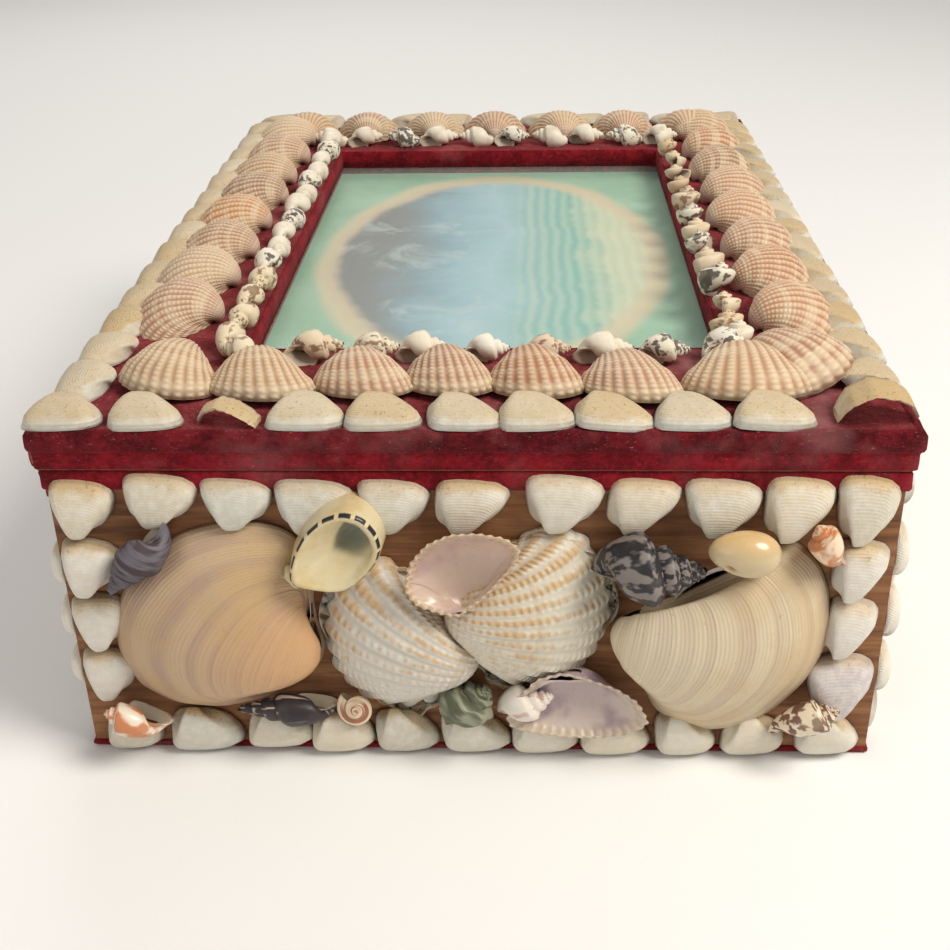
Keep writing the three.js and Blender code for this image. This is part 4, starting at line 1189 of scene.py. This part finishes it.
dense = np.linspace(0, 1, 73)
closed = np.vstack([rim, rim[:1]])
rim = np.stack([np.interp(dense, np.linspace(0, 1, len(closed)), closed[:, k]) for k in (0, 1)], 1)
blur = np.hanning(7) / np.hanning(7).sum()
rim = np.stack([
    np.convolve(np.r_[rim[-7:-1, k], rim[:, k], rim[1:7, k]], blur, "same")[6:-6] for k in (0, 1)
], 1)
centre = rim.mean(0)
hollow = np.array([-22.6, 59.6])
rings = [(1.0, centre, 0.4, 0), (1.06, centre, 4, 0), (1.02, centre, 8.0, 0.3), (0.985, centre, 9.6, 0.9),
         (0.94, centre, 10.2, 1.2), (0.86, centre, 9.8, 1.5), (0.8, centre, 9.2, 1.6),
         (0.56, hollow, 8.2, 1.8),
         (0.44, hollow, 5.4, 2.4), (0.3, hollow, 3.2, 2.6), (0.05, hollow, 2.6, 2.6)]
cup = np.stack([
    np.concatenate([hub + (rim - centre) * share, np.full((len(rim), 1), up)], 1)
    for share, hub, up, _ in rings
])
marks = np.array([mark for *_, mark in rings])[:, None]
nerite = Part(cup, dense[None, :] * 17, marks, 0.8, (0.68, 0.58, 0.36))
knob = lying(coil(5.4, 7.6, 2.6, 2.0, 0.5, sides=14, turns=20), 7.6, 0, 0.7)
on_near_wall(knob, -38.4, 49.0, 20, 3.0).coloured((0.76, 0.66, 0.44))
cast("nerite_shell", "box", [lip_coat.material],
     [nerite.moved(*wall_face(*NEAR)), knob], "nerite")


# The other walls: the same rows, with large plain valves between them, beak up and
# beak down in turn, and a small whelk in each gap. They are out of common view.
walls = {
    "front": (1, 124, 86, [-112 + 16 * i for i in range(15)], 57.4, 6),
    "far": (2, 86, 124, [-77.5 + 15.5 * i for i in range(11)], 57.4, 4),
    "hinge": (3, 124, 86, [-112 + 16 * i for i in range(15)], 52.2, 6),
}
for seed, (side, (quarter, half, out, centres, row_at, across_count)) in enumerate(walls.items()):
    chance = np.random.default_rng(80 + seed)
    face = wall_face(quarter, out)
    parts = []
    for x in centres:
        low_edge = row_at + chance.uniform(-0.3, 0.5)
        spot = (x - 7.7, x + 7.7, low_edge, low_edge + 11.2 + chance.uniform(-0.5, 0.6))
        parts.append(fitted(wedge(chance, deep=3.8), *spot, off=0.4).moved(*face))
    cast(f"{side}_wedges_top", "box", [wedge_coat], parts, f"{side}_top_row")
    parts = []
    for x in centres:
        part = wedge(chance, deep=3.6)
        part.points[..., 1] *= -1
        parts.append(fitted(part, x - 7.6, x + 7.6, 1.2, 12.2, 0.4).moved(*face))
    for x in (-half + 6.4, half - 6.4):
        for i in range(3):
            low_edge = 12.4 + (row_at - 12.8) / 3 * i
            part = valve(12, 13, 4.4, lambda u: round_outline(u, 0.05), curl=0.9, columns=36, rows=13,
                         full=0.6)
            part.moved(spin("Z", chance.uniform(-10, 10)))
            fitted(part, x - 5.8, x + 5.8, low_edge, low_edge + (row_at - 12.8) / 3, 0.4).moved(*face)
            parts.append(part.coloured((0.78, 0.72, 0.62), chance.uniform(0, 0.5)))
    inner = half - 12.4
    pitch = 2 * inner / across_count
    for i in range(across_count):
        x = -inner + (i + 0.5) * pitch
        ribbed = i % 2 == chance.integers(0, 2)
        form = {"ribs": 22, "relief": 0.9, "rows": 30} if ribbed else {"columns": 72, "rows": 26}
        part = valve(pitch, row_at - 13, 10.0 if ribbed else 9.4, lambda u: round_outline(u, 0.06), curl=0.9,
                     lip=0.9, rings=34, full=0.76, **form)
        part.moved(spin("Z", (180 if i % 2 else 0) + chance.uniform(-8, 8)))
        fitted(part, x - pitch / 2 + 0.4, x + pitch / 2 - 0.4, 12.8, row_at - 0.6, 0.3).moved(*face)
        tint = (0.82, 0.77, 0.68)
        if not ribbed:
            tint = tuple(np.array((0.66, 0.54, 0.42)) * chance.uniform(0.85, 1.15))
        parts.append(part.coloured(tint, chance.uniform(0, 1), 1 if ribbed else 2))
        if i:
            long = chance.uniform(17, 20)
            gap = coil(long, 8.4, ribs=11, relief=0.15, turns=16)
            lying(gap, 8.4, chance.uniform(-25, 25), 0.7).moved(np.eye(3), (-long / 2, 0, 0))
            settled(gap, x - pitch / 2, row_at - 5.6 if i % 2 else 18, chance.uniform(-20, 20), 1.8)
            coat = int(chance.integers(3, 6))
            ground = GROUNDS[int(chance.integers(0, 5))]
            parts.append(gap.moved(*face).coloured(ground, chance.uniform(0, 1), coat))
    coats = [wedge_coat, white_coat, bpy.data.materials["buff_clam"], freckled, checked, plain_snail]
    cast(f"{side}_wall_shells", "box", coats, parts, f"{side}_shells")
